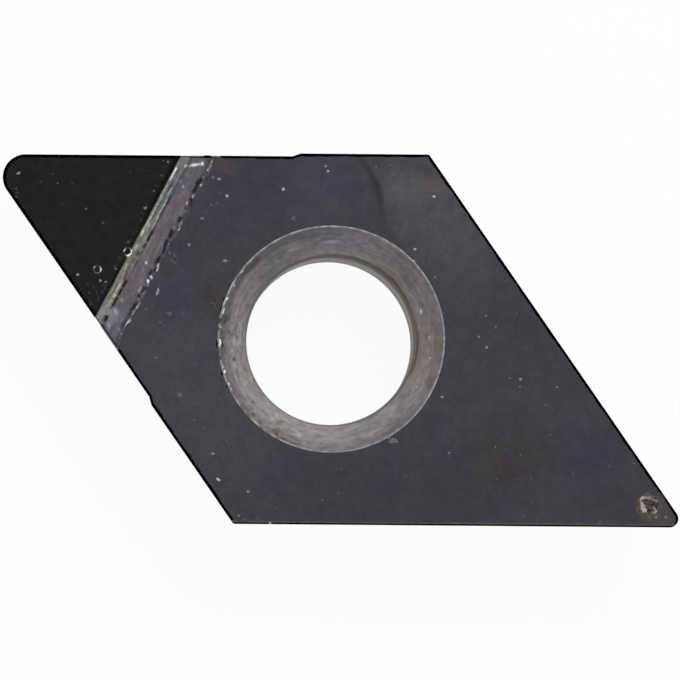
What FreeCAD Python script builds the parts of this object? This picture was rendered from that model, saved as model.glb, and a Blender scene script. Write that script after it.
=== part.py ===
# Turning insert with a brazed diamond tip, in millimetres and degrees.
#
# A rhombic carbide body with relieved flanks carries one countersunk screw hole. One acute
# corner is cut away as a flat seat, and a two-layer tip (diamond on a carbide backing) is
# brazed into it. Every piece is drawn along the insert's long diagonal, nose towards -X,
# and is then turned by half the point angle, so that two of the long edges lie along X.
# The origin is on the screw hole's axis at the seat face, with +Z up.
import FreeCAD, Part

import math
import os

import Sketcher

Vector = FreeCAD.Vector
Constraint = Sketcher.Constraint

# Driving dimensions
SIZES = {
    "inscribed_circle": 6.35,
    "point_angle": 55.0,
    "insert_thickness": 2.38,
    "clearance_angle": 7.0,
    "nose_radius": 0.4,
    "far_corner_radius": 0.15,
    "obtuse_corner_radius": 0.04,
    "bore_diameter": 2.85,
    "countersink_diameter": 3.84,
    "countersink_angle": 60.0,
    "bore_blend_radius": 0.5,
    "tip_length": 3.03,
    "diamond_thickness": 0.5,
    "backing_thickness": 0.7,
    "seam_width": 0.155,
    "braze_film": 0.05,
    "ground_recess": 0.05,
    "ground_length_top": 5.32,
    "ground_length_side": 5.05,
    "runout_length": 0.15,
    "band_width": 0.33,
    "band_depth": 0.02,
    "crater_width": 0.3,
    "crater_depth": 0.05,
    "crater_setback": 0.735,
}

# The edges' distances from the hole's axis, free and where the nose's flanks are ground
FREE_OFFSET = "(Sizes.inscribed_circle / 2)"
GROUND_OFFSET = f"({FREE_OFFSET} - Sizes.ground_recess)"

# Places along the long diagonal, as distances from the hole's axis
HALF_ANGLE = "(Sizes.point_angle / 2)"
SHARP_APEX = f"({FREE_OFFSET} / sin({HALF_ANGLE} * 1deg))"
GROUND_APEX = f"({GROUND_OFFSET} / sin({HALF_ANGLE} * 1deg))"
TIP_BACK = f"({GROUND_APEX} - Sizes.tip_length)"
SEAT_WALL = f"({TIP_BACK} - Sizes.seam_width)"
BAND_END = f"({SEAT_WALL} - Sizes.band_width)"
CRATER_CENTRE = f"({SHARP_APEX} - Sizes.crater_setback)"

# The obtuse corners' distance from the hole's axis, across the long diagonal
OBTUSE_APEX = f"({FREE_OFFSET} / cos({HALF_ANGLE} * 1deg))"

# Heights above the seat face
TOP = "Sizes.insert_thickness"
GROUND_TOP = f"({TOP} - Sizes.band_depth)"
DIAMOND_FLOOR = f"({GROUND_TOP} - Sizes.diamond_thickness)"
BACKING_FLOOR = f"({DIAMOND_FLOOR} - Sizes.backing_thickness)"
SEAT_FLOOR = f"({BACKING_FLOOR} - Sizes.braze_film)"

# The ball that would leave the crater
BALL_RADIUS = "((Sizes.crater_width^2 / 4 + Sizes.crater_depth^2) / (2 * Sizes.crater_depth))"

# The screw hole's section
BORE_RADIUS = "(Sizes.bore_diameter / 2)"
RIM_RADIUS = "(Sizes.countersink_diameter / 2)"
CONE_SLOPE = "(90 - Sizes.countersink_angle / 2)"
CONE_FOOT = f"({TOP} - ({RIM_RADIUS} - {BORE_RADIUS}) * tan({CONE_SLOPE} * 1deg))"

# Points closer together than this are the same point
SAME_PLACE = 1e-5


def make_sheet(doc):
    """Put each driving dimension in a cell of its own, with its name beside it."""
    sheet = doc.addObject("Spreadsheet::Sheet", "Sizes")
    for row, (name, value) in enumerate(SIZES.items(), start=1):
        sheet.set(f"A{row}", name.replace("_", " "))
        sheet.set(f"B{row}", str(value))
        sheet.setAlias(f"B{row}", name)
    doc.recompute()


def value_of(item, expression):
    """Work out an expression of the driving dimensions as a plain number."""
    return float(item.Document.getObject("Sizes").evalExpression(expression))


def make_body(doc, name):
    """Start a piece, turned so that two of its long edges lie along X."""
    body = doc.addObject("PartDesign::Body", name)
    body.Label = name
    body.Placement = FreeCAD.Placement(Vector(), FreeCAD.Rotation(Vector(0, 0, 1), -1))
    body.setExpression("Placement.Rotation.Angle", f"-{HALF_ANGLE}")
    return body


def lay_on_plane(item, body, role, height=None):
    """Attach a sketch or a plane to one of its body's origin planes, at a height."""
    plane = next(part for part in body.Origin.OriginFeatures if part.Role == role)
    item.AttachmentSupport = [(plane, "")]
    item.MapMode = "FlatFace"
    if height:
        item.setExpression("AttachmentOffset.Base.z", height)


def draw_loop(body, name, corners, role="XY_Plane", height=None):
    """Draw a closed chain of lines; line number i runs from corner i to the next one."""
    sketch = body.newObject("Sketcher::SketchObject", name)
    lay_on_plane(sketch, body, role, height)
    for start, end in zip(corners, corners[1:] + corners[:1]):
        sketch.addGeometry(Part.LineSegment(Vector(*start, 0), Vector(*end, 0)))
    for line in range(len(corners)):
        sketch.addConstraint(Constraint("Coincident", line, 2, (line + 1) % len(corners), 1))
    return sketch


def drive(sketch, expression, kind, *elements):
    """Add a constraint whose value follows an expression of the driving dimensions."""
    value = value_of(sketch, expression)
    if kind == "Angle":
        value = math.radians(value)
    index = sketch.addConstraint(Constraint(kind, *elements, value))
    sketch.setExpression(f"Constraints[{index}]", expression)


def point_along(start, direction, distance):
    """Return the point that lies a distance away from another, in a direction in radians."""
    return (start[0] + distance * math.cos(direction), start[1] + distance * math.sin(direction))


def insert_outline(body):
    """Draw the body's outline at its top face, with a ground stretch each side of the nose.

    Both sides have a ground stretch, a short ramp out to the free edge, the free edge, and
    an edge that runs on to the far corner and is parallel to the other side's first edge.
    """
    half = math.radians(value_of(body, HALF_ANGLE))
    ramp_length = value_of(body, "Sizes.runout_length")
    ramp_turn = math.asin(value_of(body, "Sizes.ground_recess / Sizes.runout_length"))
    nose = (-value_of(body, GROUND_APEX), 0)
    far_corner = (value_of(body, SHARP_APEX), 0)
    side_corners = {}
    for side, length in ((-1, "Sizes.ground_length_side"), (1, "Sizes.ground_length_top")):
        ground_end = point_along(nose, side * half, value_of(body, length))
        free_start = point_along(ground_end, side * (half + ramp_turn), ramp_length)
        side_corners[side] = [ground_end, free_start, (0, side * value_of(body, OBTUSE_APEX))]
    corners = [nose, *side_corners[-1], far_corner, *reversed(side_corners[1])]
    sketch = draw_loop(body, "insert_outline", corners)
    sketch.addConstraint(Constraint("PointOnObject", 0, 1, -1))
    drive(sketch, f"-{HALF_ANGLE}", "Angle", 0)
    side_lines = {"Sizes.ground_length_side": (0, 1, 2, 4), "Sizes.ground_length_top": (7, 6, 5, 3)}
    for length, (ground_line, ramp, free_line, opposite_line) in side_lines.items():
        drive(sketch, GROUND_OFFSET, "Distance", -1, 1, ground_line)
        drive(sketch, FREE_OFFSET, "Distance", -1, 1, free_line)
        drive(sketch, FREE_OFFSET, "Distance", -1, 1, opposite_line)
        drive(sketch, length, "Distance", ground_line)
        drive(sketch, "Sizes.runout_length", "Distance", ramp)
        sketch.addConstraint(Constraint("Parallel", ground_line, free_line))
        sketch.addConstraint(Constraint("Parallel", ground_line, opposite_line))
    return sketch


def tip_outline(body, back, floor):
    """Draw the triangle between the ground edges and a back line square to the diagonal."""
    half = math.radians(value_of(body, HALF_ANGLE))
    nose = (-value_of(body, GROUND_APEX), 0)
    reach = (value_of(body, GROUND_APEX) - value_of(body, back)) / math.cos(half)
    corners = [nose, point_along(nose, -half, reach), point_along(nose, half, reach)]
    sketch = draw_loop(body, "tip_outline", corners, height=floor)
    sketch.addConstraint(Constraint("PointOnObject", 0, 1, -1))
    sketch.addConstraint(Constraint("Vertical", 1))
    drive(sketch, f"-{HALF_ANGLE}", "Angle", 0)
    drive(sketch, GROUND_OFFSET, "Distance", -1, 1, 0)
    drive(sketch, GROUND_OFFSET, "Distance", -1, 1, 2)
    drive(sketch, back, "DistanceX", 0, 2, -1, 1)
    return sketch


def nose_side_box(body, name, height, wall):
    """Draw a rectangle over the whole nose, which ends at a wall square to the diagonal."""
    left = -value_of(body, SHARP_APEX)
    right = -value_of(body, wall)
    side = value_of(body, FREE_OFFSET)
    corners = [(left, -side), (right, -side), (right, side), (left, side)]
    sketch = draw_loop(body, name, corners, height=height)
    for line in (0, 2):
        sketch.addConstraint(Constraint("Horizontal", line))
        sketch.addConstraint(Constraint("Vertical", line + 1))
    drive(sketch, SHARP_APEX, "DistanceX", 0, 1, -1, 1)
    drive(sketch, wall, "DistanceX", 0, 2, -1, 1)
    drive(sketch, FREE_OFFSET, "DistanceY", 0, 1, -1, 1)
    drive(sketch, FREE_OFFSET, "DistanceY", -1, 1, 2, 1)
    return sketch


def hole_section(body):
    """Draw half of the screw hole's section, with its axis on the body's Z."""
    bore = value_of(body, BORE_RADIUS)
    rim = value_of(body, RIM_RADIUS)
    top = value_of(body, TOP)
    corners = [(0, 0), (bore, 0), (bore, value_of(body, CONE_FOOT)), (rim, top), (0, top)]
    sketch = draw_loop(body, "hole_section", corners, role="XZ_Plane")
    sketch.addConstraint(Constraint("Coincident", 0, 1, -1, 1))
    for line in (0, 3):
        sketch.addConstraint(Constraint("Horizontal", line))
        sketch.addConstraint(Constraint("Vertical", line + 1))
    drive(sketch, BORE_RADIUS, "Distance", 0)
    drive(sketch, RIM_RADIUS, "Distance", 3)
    drive(sketch, TOP, "Distance", 4)
    drive(sketch, CONE_SLOPE, "Angle", 2)
    return sketch


def add_feature(body, kind, name, plain=None, driven=None):
    """Add a feature to a body, set its plain and its driven values, and work it out."""
    feature = body.newObject(kind, name)
    for key, value in (plain or {}).items():
        setattr(feature, key, value)
    for key, expression in (driven or {}).items():
        feature.setExpression(key, expression)
    body.Document.recompute()
    return feature


def round_edges(body, name, base, radius, wanted):
    """Round the edges of the base feature that a test picks out."""
    edges = [f"Edge{i}" for i, edge in enumerate(base.Shape.Edges, start=1) if wanted(edge)]
    return add_feature(body, "PartDesign::Fillet", name, {"Base": (base, edges)}, {"Radius": radius})


def leads_down_from(edge, x, y):
    """Tell whether an edge leads straight or slanting down from a point in plan."""
    low, high = sorted((edge.Vertexes[0], edge.Vertexes[-1]), key=lambda vertex: vertex.Z)
    return math.hypot(high.X - x, high.Y - y) < SAME_PLACE and high.Z - low.Z > SAME_PLACE


def relieve_flanks(body, base):
    """Lean the flanks in towards the seat face, turned about their lines in the top plane.

    The back of a tip piece, which is square to the long diagonal, stays upright.
    """
    neutral = body.newObject("PartDesign::Plane", "top_plane")
    lay_on_plane(neutral, body, "XY_Plane", TOP)
    body.Document.recompute()
    flanks = []
    for i, face in enumerate(base.Shape.Faces, start=1):
        u_low, u_high, v_low, v_high = face.ParameterRange
        normal = face.normalAt((u_low + u_high) / 2, (v_low + v_high) / 2)
        if abs(normal.z) < SAME_PLACE and normal.x < 1 - SAME_PLACE:
            flanks.append(f"Face{i}")
    plain = {"Base": (base, flanks), "NeutralPlane": (neutral, [""]), "Reversed": True}
    return add_feature(body, "PartDesign::Draft", "flanks", plain, {"Angle": "Sizes.clearance_angle"})


def raise_blank(body, outline, height):
    """Raise an outline that starts at the nose, round the nose and relieve the flanks."""
    pad = add_feature(body, "PartDesign::Pad", "blank", {"Profile": outline}, {"Length": height})
    nose_x = -value_of(body, GROUND_APEX)
    nose = round_edges(body, "nose", pad, "Sizes.nose_radius", lambda edge: leads_down_from(edge, nose_x, 0))
    return relieve_flanks(body, nose)


def cut_nose_side(body, name, top, wall, depth):
    """Cut away everything on the nose's side of a wall, from a height down to a depth."""
    outline = nose_side_box(body, f"{name}_outline", top, wall)
    add_feature(body, "PartDesign::Pocket", name, {"Profile": outline}, {"Length": depth})


def round_free_corners(body, base):
    """Round the far corner and both obtuse corners along their slanting edges."""
    far_x = value_of(body, SHARP_APEX)
    obtuse_y = value_of(body, OBTUSE_APEX)

    def is_far(edge):
        return leads_down_from(edge, far_x, 0)

    def is_obtuse(edge):
        return leads_down_from(edge, 0, obtuse_y) or leads_down_from(edge, 0, -obtuse_y)

    far = round_edges(body, "far_corner", base, "Sizes.far_corner_radius", is_far)
    round_edges(body, "obtuse_corners", far, "Sizes.obtuse_corner_radius", is_obtuse)


def cut_screw_hole(body):
    """Turn the bore and its countersink, and blend the cone into the bore."""
    section = hole_section(body)
    plain = {"Profile": section, "ReferenceAxis": (section, ["V_Axis"]), "Angle": 360}
    hole = add_feature(body, "PartDesign::Groove", "screw_hole", plain)
    bore = value_of(body, BORE_RADIUS)
    foot = value_of(body, CONE_FOOT)

    def is_cone_foot(edge):
        is_circle = isinstance(edge.Curve, Part.Circle) and abs(edge.Curve.Radius - bore) < SAME_PLACE
        return is_circle and abs(edge.Curve.Center.z - foot) < SAME_PLACE

    round_edges(body, "bore_blend", hole, "Sizes.bore_blend_radius", is_cone_foot)


def press_crater(body):
    """Leave the shallow round crater in the top face, short of the far corner."""
    crater = body.newObject("PartDesign::SubtractiveSphere", "crater")
    lay_on_plane(crater, body, "XY_Plane", f"{TOP} + {BALL_RADIUS} - Sizes.crater_depth")
    crater.setExpression("AttachmentOffset.Base.x", CRATER_CENTRE)
    crater.setExpression("Radius", BALL_RADIUS)
    body.Document.recompute()


def make_insert_body(doc):
    """Make the carbide body: relieved rhombus, rounded corners, tip seat and screw hole."""
    body = make_body(doc, "insert_body")
    flanks = raise_blank(body, insert_outline(body), TOP)
    round_free_corners(body, flanks)
    cut_nose_side(body, "ground_band", TOP, BAND_END, "Sizes.band_depth")
    cut_nose_side(body, "tip_seat", TOP, SEAT_WALL, f"{TOP} - {SEAT_FLOOR}")
    cut_screw_hole(body)
    press_crater(body)
    return body


def make_tip_layer(doc, name, floor, thickness):
    """Make one layer of the tip, between the ground flanks and the upright back."""
    body = make_body(doc, name)
    raise_blank(body, tip_outline(body, TIP_BACK, floor), thickness)
    return body


def make_braze_seam(doc):
    """Make the braze: a film under the tip, and the fill behind it up to the top."""
    body = make_body(doc, "braze_seam")
    raise_blank(body, tip_outline(body, SEAT_WALL, SEAT_FLOOR), f"{GROUND_TOP} - {SEAT_FLOOR}")
    cut_nose_side(body, "tip_space", GROUND_TOP, TIP_BACK, f"{GROUND_TOP} - {BACKING_FLOOR}")
    return body


def check_document(doc, bodies):
    """Stop if any feature failed or any piece isn't one whole valid solid."""
    for item in doc.Objects:
        if {"Invalid", "Error"} & set(item.State):
            raise RuntimeError(f"{item.Name} failed: {item.State}")
    for body in bodies:
        shape = body.Shape
        if shape.isNull() or not shape.isValid() or len(shape.Solids) != 1:
            raise RuntimeError(f"{body.Label} isn't one valid solid")


def main():
    """Build the document and write each piece to its own file."""
    doc = FreeCAD.newDocument("turning_insert")
    make_sheet(doc)
    bodies = [
        make_insert_body(doc),
        make_tip_layer(doc, "diamond_layer", DIAMOND_FLOOR, "Sizes.diamond_thickness"),
        make_tip_layer(doc, "tip_backing", BACKING_FLOOR, "Sizes.backing_thickness"),
        make_braze_seam(doc),
    ]
    doc.recompute()
    check_document(doc, bodies)
    os.makedirs("parts", exist_ok=True)
    for body in bodies:
        body.Shape.exportStep(f"parts/{body.Label}.step")
        print(f"{body.Label}: {body.Shape.Volume:.4f} cubic mm")


main()
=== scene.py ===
"""The looks of a rhombic turning insert with a brazed diamond tip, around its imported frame.

Lengths are millimetres in the part's own frame, and become metres when a mesh is made. +X runs
along two of the long edges, +Z up the screw hole's axis from the seat face. The long diagonal
has a frame of its own: u runs along it from the nose to the far corner, v across it, and both
start on the hole's axis.
"""

import logging
import math
from collections.abc import Callable, Sequence
from dataclasses import dataclass, field
from enum import Enum

import bmesh
import bpy
import numpy as np
from mathutils import Matrix, Vector


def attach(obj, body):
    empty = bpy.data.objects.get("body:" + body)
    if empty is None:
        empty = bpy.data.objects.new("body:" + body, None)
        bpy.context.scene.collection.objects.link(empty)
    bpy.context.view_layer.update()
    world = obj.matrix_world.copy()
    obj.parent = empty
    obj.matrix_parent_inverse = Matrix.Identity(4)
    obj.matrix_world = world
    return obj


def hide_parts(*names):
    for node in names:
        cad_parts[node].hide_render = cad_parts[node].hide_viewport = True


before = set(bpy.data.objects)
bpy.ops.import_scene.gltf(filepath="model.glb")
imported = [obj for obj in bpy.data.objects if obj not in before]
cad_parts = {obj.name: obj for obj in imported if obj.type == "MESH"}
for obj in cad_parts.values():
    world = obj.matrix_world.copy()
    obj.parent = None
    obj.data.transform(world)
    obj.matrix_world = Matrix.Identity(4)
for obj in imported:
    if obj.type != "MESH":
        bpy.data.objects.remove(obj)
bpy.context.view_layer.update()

MILLIMETRE = 0.001
# In millimetres: the smallest rounding, how close points are merged, and a patch's lift over its face
LEAST_ROUNDING = 0.004
MERGE_REACH = 2e-5
LIFT = 0.0006
LOG = logging.getLogger("turning_insert")

Array = np.ndarray
Colour = tuple[int, int, int]
Socket = bpy.types.NodeSocket
Material = bpy.types.Material
Piece = bpy.types.Object


# Plain number work

def smooth_step(value: Array, low: float | Array, high: float | Array) -> Array:
    """Rise from 0 at low to 1 at high with level ends: 3 t squared less 2 t cubed."""
    share = np.clip((value - low) / (high - low), 0.0, 1.0)
    return share * share * (3.0 - 2.0 * share)


def strokes(places: Array, marks: Sequence[Sequence[float]], to_plan: Callable[[Array], Array]) -> Array:
    """Add up soft strokes, each strongest along its own short line.

    A stroke is its strength times e to the power of minus the squared distance from its line,
    with the distance in units of the stroke's half width.

    Args:
        places: Points in plan, with the two coordinates last.
        marks: Rows of the line's two ends in pixels, the half width in pixels and the strength.
        to_plan: Turns pixel places into plan places.

    Returns:
        The sum at each point.
    """
    rows = np.asarray(marks, dtype=float)
    starts, ends = to_plan(rows[:, 0:2]), to_plan(rows[:, 2:4])
    total = np.zeros(places.shape[:-1])
    for start, end, width, strength in zip(starts, ends, rows[:, 4] * PHOTO.pixel, rows[:, 5]):
        line = end - start
        share = np.clip(((places - start) @ line) / max(line @ line, 1e-12), 0.0, 1.0)
        away = places - start - share[..., None] * line
        total += strength * np.exp(-(away ** 2).sum(axis=-1) / width ** 2)
    return total


@dataclass(frozen=True)
class Waves:
    """A smooth seeded noise: many sine waves in random directions, with a spread of about 1.

    Attributes:
        seed: Picks the waves.
        length: The waves' typical length along the first and the second coordinate.
        count: How many waves are added up.
    """

    seed: int
    length: tuple[float, float]
    count: int = 22

    def __call__(self, first: Array, second: Array) -> Array:
        """Return the sum of the waves' sines at each point, over the root of half their count."""
        chance = np.random.default_rng(self.seed)
        turns = chance.uniform(0.0, 2.0 * math.pi, self.count)
        pace = 2.0 * math.pi * chance.uniform(0.55, 1.45, self.count)
        phase = chance.uniform(0.0, 2.0 * math.pi, self.count)
        first_rate = pace * np.cos(turns) / self.length[0]
        second_rate = pace * np.sin(turns) / self.length[1]
        inner = first[..., None] * first_rate + second[..., None] * second_rate + phase
        return np.sin(inner).sum(axis=-1) / math.sqrt(self.count / 2.0)


# Sizes, and where things lie

@dataclass(frozen=True)
class InsertSizes:
    """The insert's driving sizes in millimetres and degrees, and what follows from them."""

    inscribed_circle: float = 6.35
    point_angle: float = 55.0
    thickness: float = 2.38
    relief: float = 7.0
    nose_radius: float = 0.4
    far_radius: float = 0.15
    obtuse_radius: float = 0.04
    bore: float = 2.85
    countersink: float = 3.84
    countersink_angle: float = 60.0
    bore_blend: float = 0.5
    tip_length: float = 3.03
    diamond_thickness: float = 0.5
    backing_thickness: float = 0.7
    seam_width: float = 0.155
    braze_film: float = 0.05
    ground_recess: float = 0.05
    ground_length_top: float = 5.32
    ground_length_side: float = 5.05
    runout: float = 0.15
    band_width: float = 0.33
    band_depth: float = 0.02
    hone_width: float = 0.055
    hone_drop: float = 0.045
    pocket_margin: float = 0.12

    @property
    def half(self) -> float:
        """Half the point angle, in radians."""
        return math.radians(self.point_angle / 2.0)

    @property
    def free(self) -> float:
        """The free edges' distance from the hole's axis."""
        return self.inscribed_circle / 2.0

    @property
    def ground(self) -> float:
        """The ground edges' distance from the hole's axis."""
        return self.free - self.ground_recess

    @property
    def tip_back(self) -> float:
        """Where the tip's back face stands, as u."""
        return self.tip_length - self.ground / math.sin(self.half)

    @property
    def seat_wall(self) -> float:
        """Where the seat's wall stands, as u."""
        return self.tip_back + self.seam_width

    @property
    def band_end(self) -> float:
        """Where the ground band beside the seam ends, as u."""
        return self.seat_wall + self.band_width

    @property
    def pocket_end(self) -> float:
        """Where the recess that holds the band's own mesh ends, as u."""
        return self.band_end + self.pocket_margin

    @property
    def ground_top(self) -> float:
        """The height of the ground band and the tip."""
        return self.thickness - self.band_depth

    @property
    def diamond_floor(self) -> float:
        """The height of the diamond layer's underside."""
        return self.ground_top - self.diamond_thickness

    @property
    def film_top(self) -> float:
        """The height of the top of the braze film under the tip."""
        return self.diamond_floor - self.backing_thickness

    @property
    def seat_floor(self) -> float:
        """The height of the seat that the tip is brazed to."""
        return self.film_top - self.braze_film

    def lean(self, height: Array) -> Array:
        """Return how far the relieved flanks lie inside the top outline at a height."""
        return (self.thickness - height) * math.tan(math.radians(self.relief))

    def to_part(self, u: Array, v: Array) -> Array:
        """Turn diagonal coordinates into the part's X and Y, put last."""
        x = u * math.cos(self.half) + v * math.sin(self.half)
        y = v * math.cos(self.half) - u * math.sin(self.half)
        return np.stack([x, y], axis=-1)

    def to_diagonal(self, places: Array) -> tuple[Array, Array]:
        """Turn the part's X and Y into u and v."""
        u = places[..., 0] * math.cos(self.half) - places[..., 1] * math.sin(self.half)
        v = places[..., 0] * math.sin(self.half) + places[..., 1] * math.cos(self.half)
        return u, v


@dataclass(frozen=True)
class PhotoFrame:
    """The photograph's frame of 680 by 680 pixels, laid on the insert's top face.

    Attributes:
        axis_x: Where the screw hole's axis lands, in pixels from the left.
        axis_y: The same, in pixels from the top.
        pixel: One pixel on the top face, in millimetres.
        clockwise: How far the insert is turned in the picture.
        seam: A place on the back edge of the diamond.
        seam_angle: The direction of that edge, clockwise from the picture's right.
        crater: The middle of the small crater near the far corner.
    """

    axis_x: float = 331.3
    axis_y: float = 339.05
    pixel: float = 0.017065
    clockwise: float = math.radians(0.4)
    seam: tuple[float, float] = (138.8, 232.3)
    seam_angle: float = math.radians(116.95)
    crater: tuple[float, float] = (648.9, 505.3)

    def to_part(self, pixels: Sequence[Sequence[float]]) -> Array:
        """Turn pixel places into the part's X and Y: shift, flip, turn back and scale."""
        spots = np.asarray(pixels, dtype=float)
        right = spots[..., 0] - self.axis_x
        up = self.axis_y - spots[..., 1]
        x = right * math.cos(self.clockwise) - up * math.sin(self.clockwise)
        y = right * math.sin(self.clockwise) + up * math.cos(self.clockwise)
        return np.stack([x, y], axis=-1) * self.pixel

    def to_seam(self, pixels: Sequence[Sequence[float]]) -> Array:
        """Turn pixel places into the distance behind the diamond's back edge, and v."""
        away = np.asarray(pixels, dtype=float) - self.seam
        along = away[..., 0] * math.cos(self.seam_angle) + away[..., 1] * math.sin(self.seam_angle)
        behind = away[..., 0] * math.sin(self.seam_angle) - away[..., 1] * math.cos(self.seam_angle)
        _, start = SIZES.to_diagonal(self.to_part([self.seam])[0])
        return np.stack([behind * self.pixel, start - along * self.pixel], axis=-1)


SIZES = InsertSizes()
PHOTO = PhotoFrame()


@dataclass(frozen=True)
class Edge:
    """A straight line in plan: the points whose product with its normal is its offset.

    Attributes:
        angle: The direction of its outward normal, in radians.
        offset: Its distance from the hole's axis.
        leans: Whether it moves in with the relieved flanks further down.
        honed: Whether an edge hone moves it in at the top.
    """

    angle: float
    offset: float
    leans: bool = True
    honed: bool = True

    @property
    def normal(self) -> tuple[float, float]:
        """The outward normal."""
        return math.cos(self.angle), math.sin(self.angle)


@dataclass(frozen=True)
class Corner:
    """Where two lines of an outline meet, going round against the clock.

    Attributes:
        before: The line that leads to the corner.
        after: The line that it is worked out with, and that follows it.
        radius: Its rounding at the top face.
        narrows: Whether the rounding gets smaller as the flanks lean in.
        steps: How many points lie along the rounding.
        onward: The line that follows, where that isn't the line after.
    """

    before: Edge
    after: Edge
    radius: float = 0.0
    narrows: bool = False
    steps: int = 1
    onward: Edge | None = None

    def arc(self, lean: Array, hone: Array) -> Array:
        """Return the rounding's points for each row.

        The centre is where both lines, moved in by the radius, meet. The points lie on a
        circle about it, from the first line's normal to the second line's.

        Args:
            lean: How far the flanks lie inside the top outline, for each row.
            hone: How far the hone moves the lines in, for each row.

        Returns:
            Points as rows, steps and two coordinates.
        """
        radius = np.zeros_like(lean)
        if self.radius:
            radius = np.maximum(self.radius - self.narrows * lean - hone, LEAST_ROUNDING)
        offsets = [
            edge.offset - edge.leans * lean - edge.honed * hone - radius
            for edge in (self.before, self.after)
        ]
        (first_x, first_y), (second_x, second_y) = self.before.normal, self.after.normal
        cross = first_x * second_y - first_y * second_x
        centre_x = (offsets[0] * second_y - offsets[1] * first_y) / cross
        centre_y = (first_x * offsets[1] - second_x * offsets[0]) / cross
        sweep = (self.after.angle - self.before.angle) % (2.0 * math.pi)
        angles = self.before.angle + sweep * np.linspace(0.0, 1.0, self.steps)
        x = centre_x[:, None] + radius[:, None] * np.cos(angles)
        y = centre_y[:, None] + radius[:, None] * np.sin(angles)
        return np.stack([x, y], axis=-1)


@dataclass(frozen=True)
class Outline:
    """A closed outline of straight lines and rounded corners, sampled the same at every height.

    Attributes:
        corners: The corners, against the clock.
        spacing: About how far apart the points on the straight stretches lie.
    """

    corners: tuple[Corner, ...]
    spacing: float

    def _spans(self) -> list[int]:
        """Return how many points lie inside each straight stretch at the top outline."""
        still = np.zeros(1)
        arcs = [corner.arc(still, still)[0] for corner in self.corners]
        following = arcs[1:] + arcs[:1]
        lengths = [np.linalg.norm(after[0] - before[-1]) for before, after in zip(arcs, following)]
        return [max(int(length / self.spacing), 1) for length in lengths]

    def loops(self, lean: Array, hone: Array) -> Array:
        """Return the outline for each row: an arc for each corner, and a line on to the next.

        Args:
            lean: How far the flanks lie inside the top outline, for each row.
            hone: How far the hone moves the lines in, for each row.

        Returns:
            Points as rows, columns and two coordinates.
        """
        arcs = [corner.arc(lean, hone) for corner in self.corners]
        stretches = []
        for arc, following, span in zip(arcs, arcs[1:] + arcs[:1], self._spans()):
            share = (np.arange(1, span + 1) / (span + 1.0))[None, :, None]
            stretches += [arc, arc[:, -1:] * (1.0 - share) + following[:, :1] * share]
        return np.concatenate(stretches, axis=1)

    def normals(self) -> Array:
        """Return each column's outward normal."""
        angles = []
        for corner, span in zip(self.corners, self._spans()):
            sweep = (corner.after.angle - corner.before.angle) % (2.0 * math.pi)
            onward = corner.onward or corner.after
            if corner.radius:
                angles.append(corner.before.angle + sweep * np.linspace(0.0, 1.0, corner.steps))
            else:
                angles.append(np.full(corner.steps, onward.angle))
            angles.append(np.full(span, onward.angle))
        joined = np.concatenate(angles)
        return np.stack([np.cos(joined), np.sin(joined)], axis=-1)

    def columns_before(self, number: int) -> int:
        """Return how many columns come before a corner, counted from 0."""
        spans = self._spans()
        return sum(corner.steps + span for corner, span in zip(self.corners[:number], spans))


class InsertLines:
    """The straight lines that the insert's outlines are made of."""

    def __init__(self, sizes: InsertSizes) -> None:
        """Work out each line from the driving sizes."""
        quarter = math.pi / 2.0
        slant = math.radians(sizes.point_angle)
        turn = math.asin(sizes.ground_recess / sizes.runout)
        nose = sizes.to_part(np.array(-sizes.ground / math.sin(sizes.half)), np.array(0.0))
        self.top_ground = Edge(quarter, sizes.ground)
        self.top_free = Edge(quarter, sizes.free)
        self.left_ground = Edge(1.5 * math.pi - slant, sizes.ground)
        self.left_free = Edge(self.left_ground.angle, sizes.free)
        self.bottom = Edge(-quarter, sizes.free)
        self.right = Edge(quarter - slant, sizes.free)
        top_start = nose + np.array([sizes.ground_length_top, 0.0])
        side_start = nose + sizes.ground_length_side * np.array([math.cos(slant), -math.sin(slant)])
        self.top_ramp = self._through(quarter + turn, top_start)
        self.left_ramp = self._through(self.left_ground.angle - turn, side_start)
        self.tip_back = self._across(sizes.half, sizes.tip_back)
        self.seat_wall = self._across(sizes.half, sizes.seat_wall)
        self.pocket_end = self._across(sizes.half, sizes.pocket_end)

    @staticmethod
    def _through(angle: float, place: Array) -> Edge:
        """Return the line with a normal's direction through a place."""
        return Edge(angle, float(place[0] * math.cos(angle) + place[1] * math.sin(angle)))

    @staticmethod
    def _across(half: float, u: float) -> Edge:
        """Return the upright plane square to the diagonal, which neither leans nor is honed."""
        return Edge(-half, u, leans=False, honed=False)


LINES = InsertLines(SIZES)


# Making meshes

def new_object(name: str, data: bpy.types.ID) -> Piece:
    """Put a new object into the scene, at the origin, and return it."""
    thing = bpy.data.objects.new(name, data)
    bpy.context.scene.collection.objects.link(thing)
    return thing


def grid_faces(rows: int, columns: int, closed_rows: bool, closed_columns: bool) -> Array:
    """Return the four corner numbers of every face of a grid.

    Face (i, j) joins the points (i, j), (i, j+1), (i+1, j+1) and (i+1, j).
    """
    numbers = np.arange(rows * columns).reshape(rows, columns)
    if closed_columns:
        numbers = np.concatenate([numbers, numbers[:, :1]], axis=1)
    if closed_rows:
        numbers = np.concatenate([numbers, numbers[:1]], axis=0)
    corners = [numbers[:-1, :-1], numbers[:-1, 1:], numbers[1:, 1:], numbers[1:, :-1]]
    return np.stack(corners, axis=-1).reshape(-1, 4)


def polar_grid(centre: Array, reach: float, rings: int, columns: int) -> tuple[Array, Array, Array]:
    """Return the rows' radii, the columns' directions and each point's place round a centre."""
    radius = np.linspace(0.0, reach, rings)[:, None]
    turn = (np.arange(columns) / columns * 2.0 * math.pi)[None]
    return radius, turn, centre + np.stack([radius * np.cos(turn), radius * np.sin(turn)], axis=-1)


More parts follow.
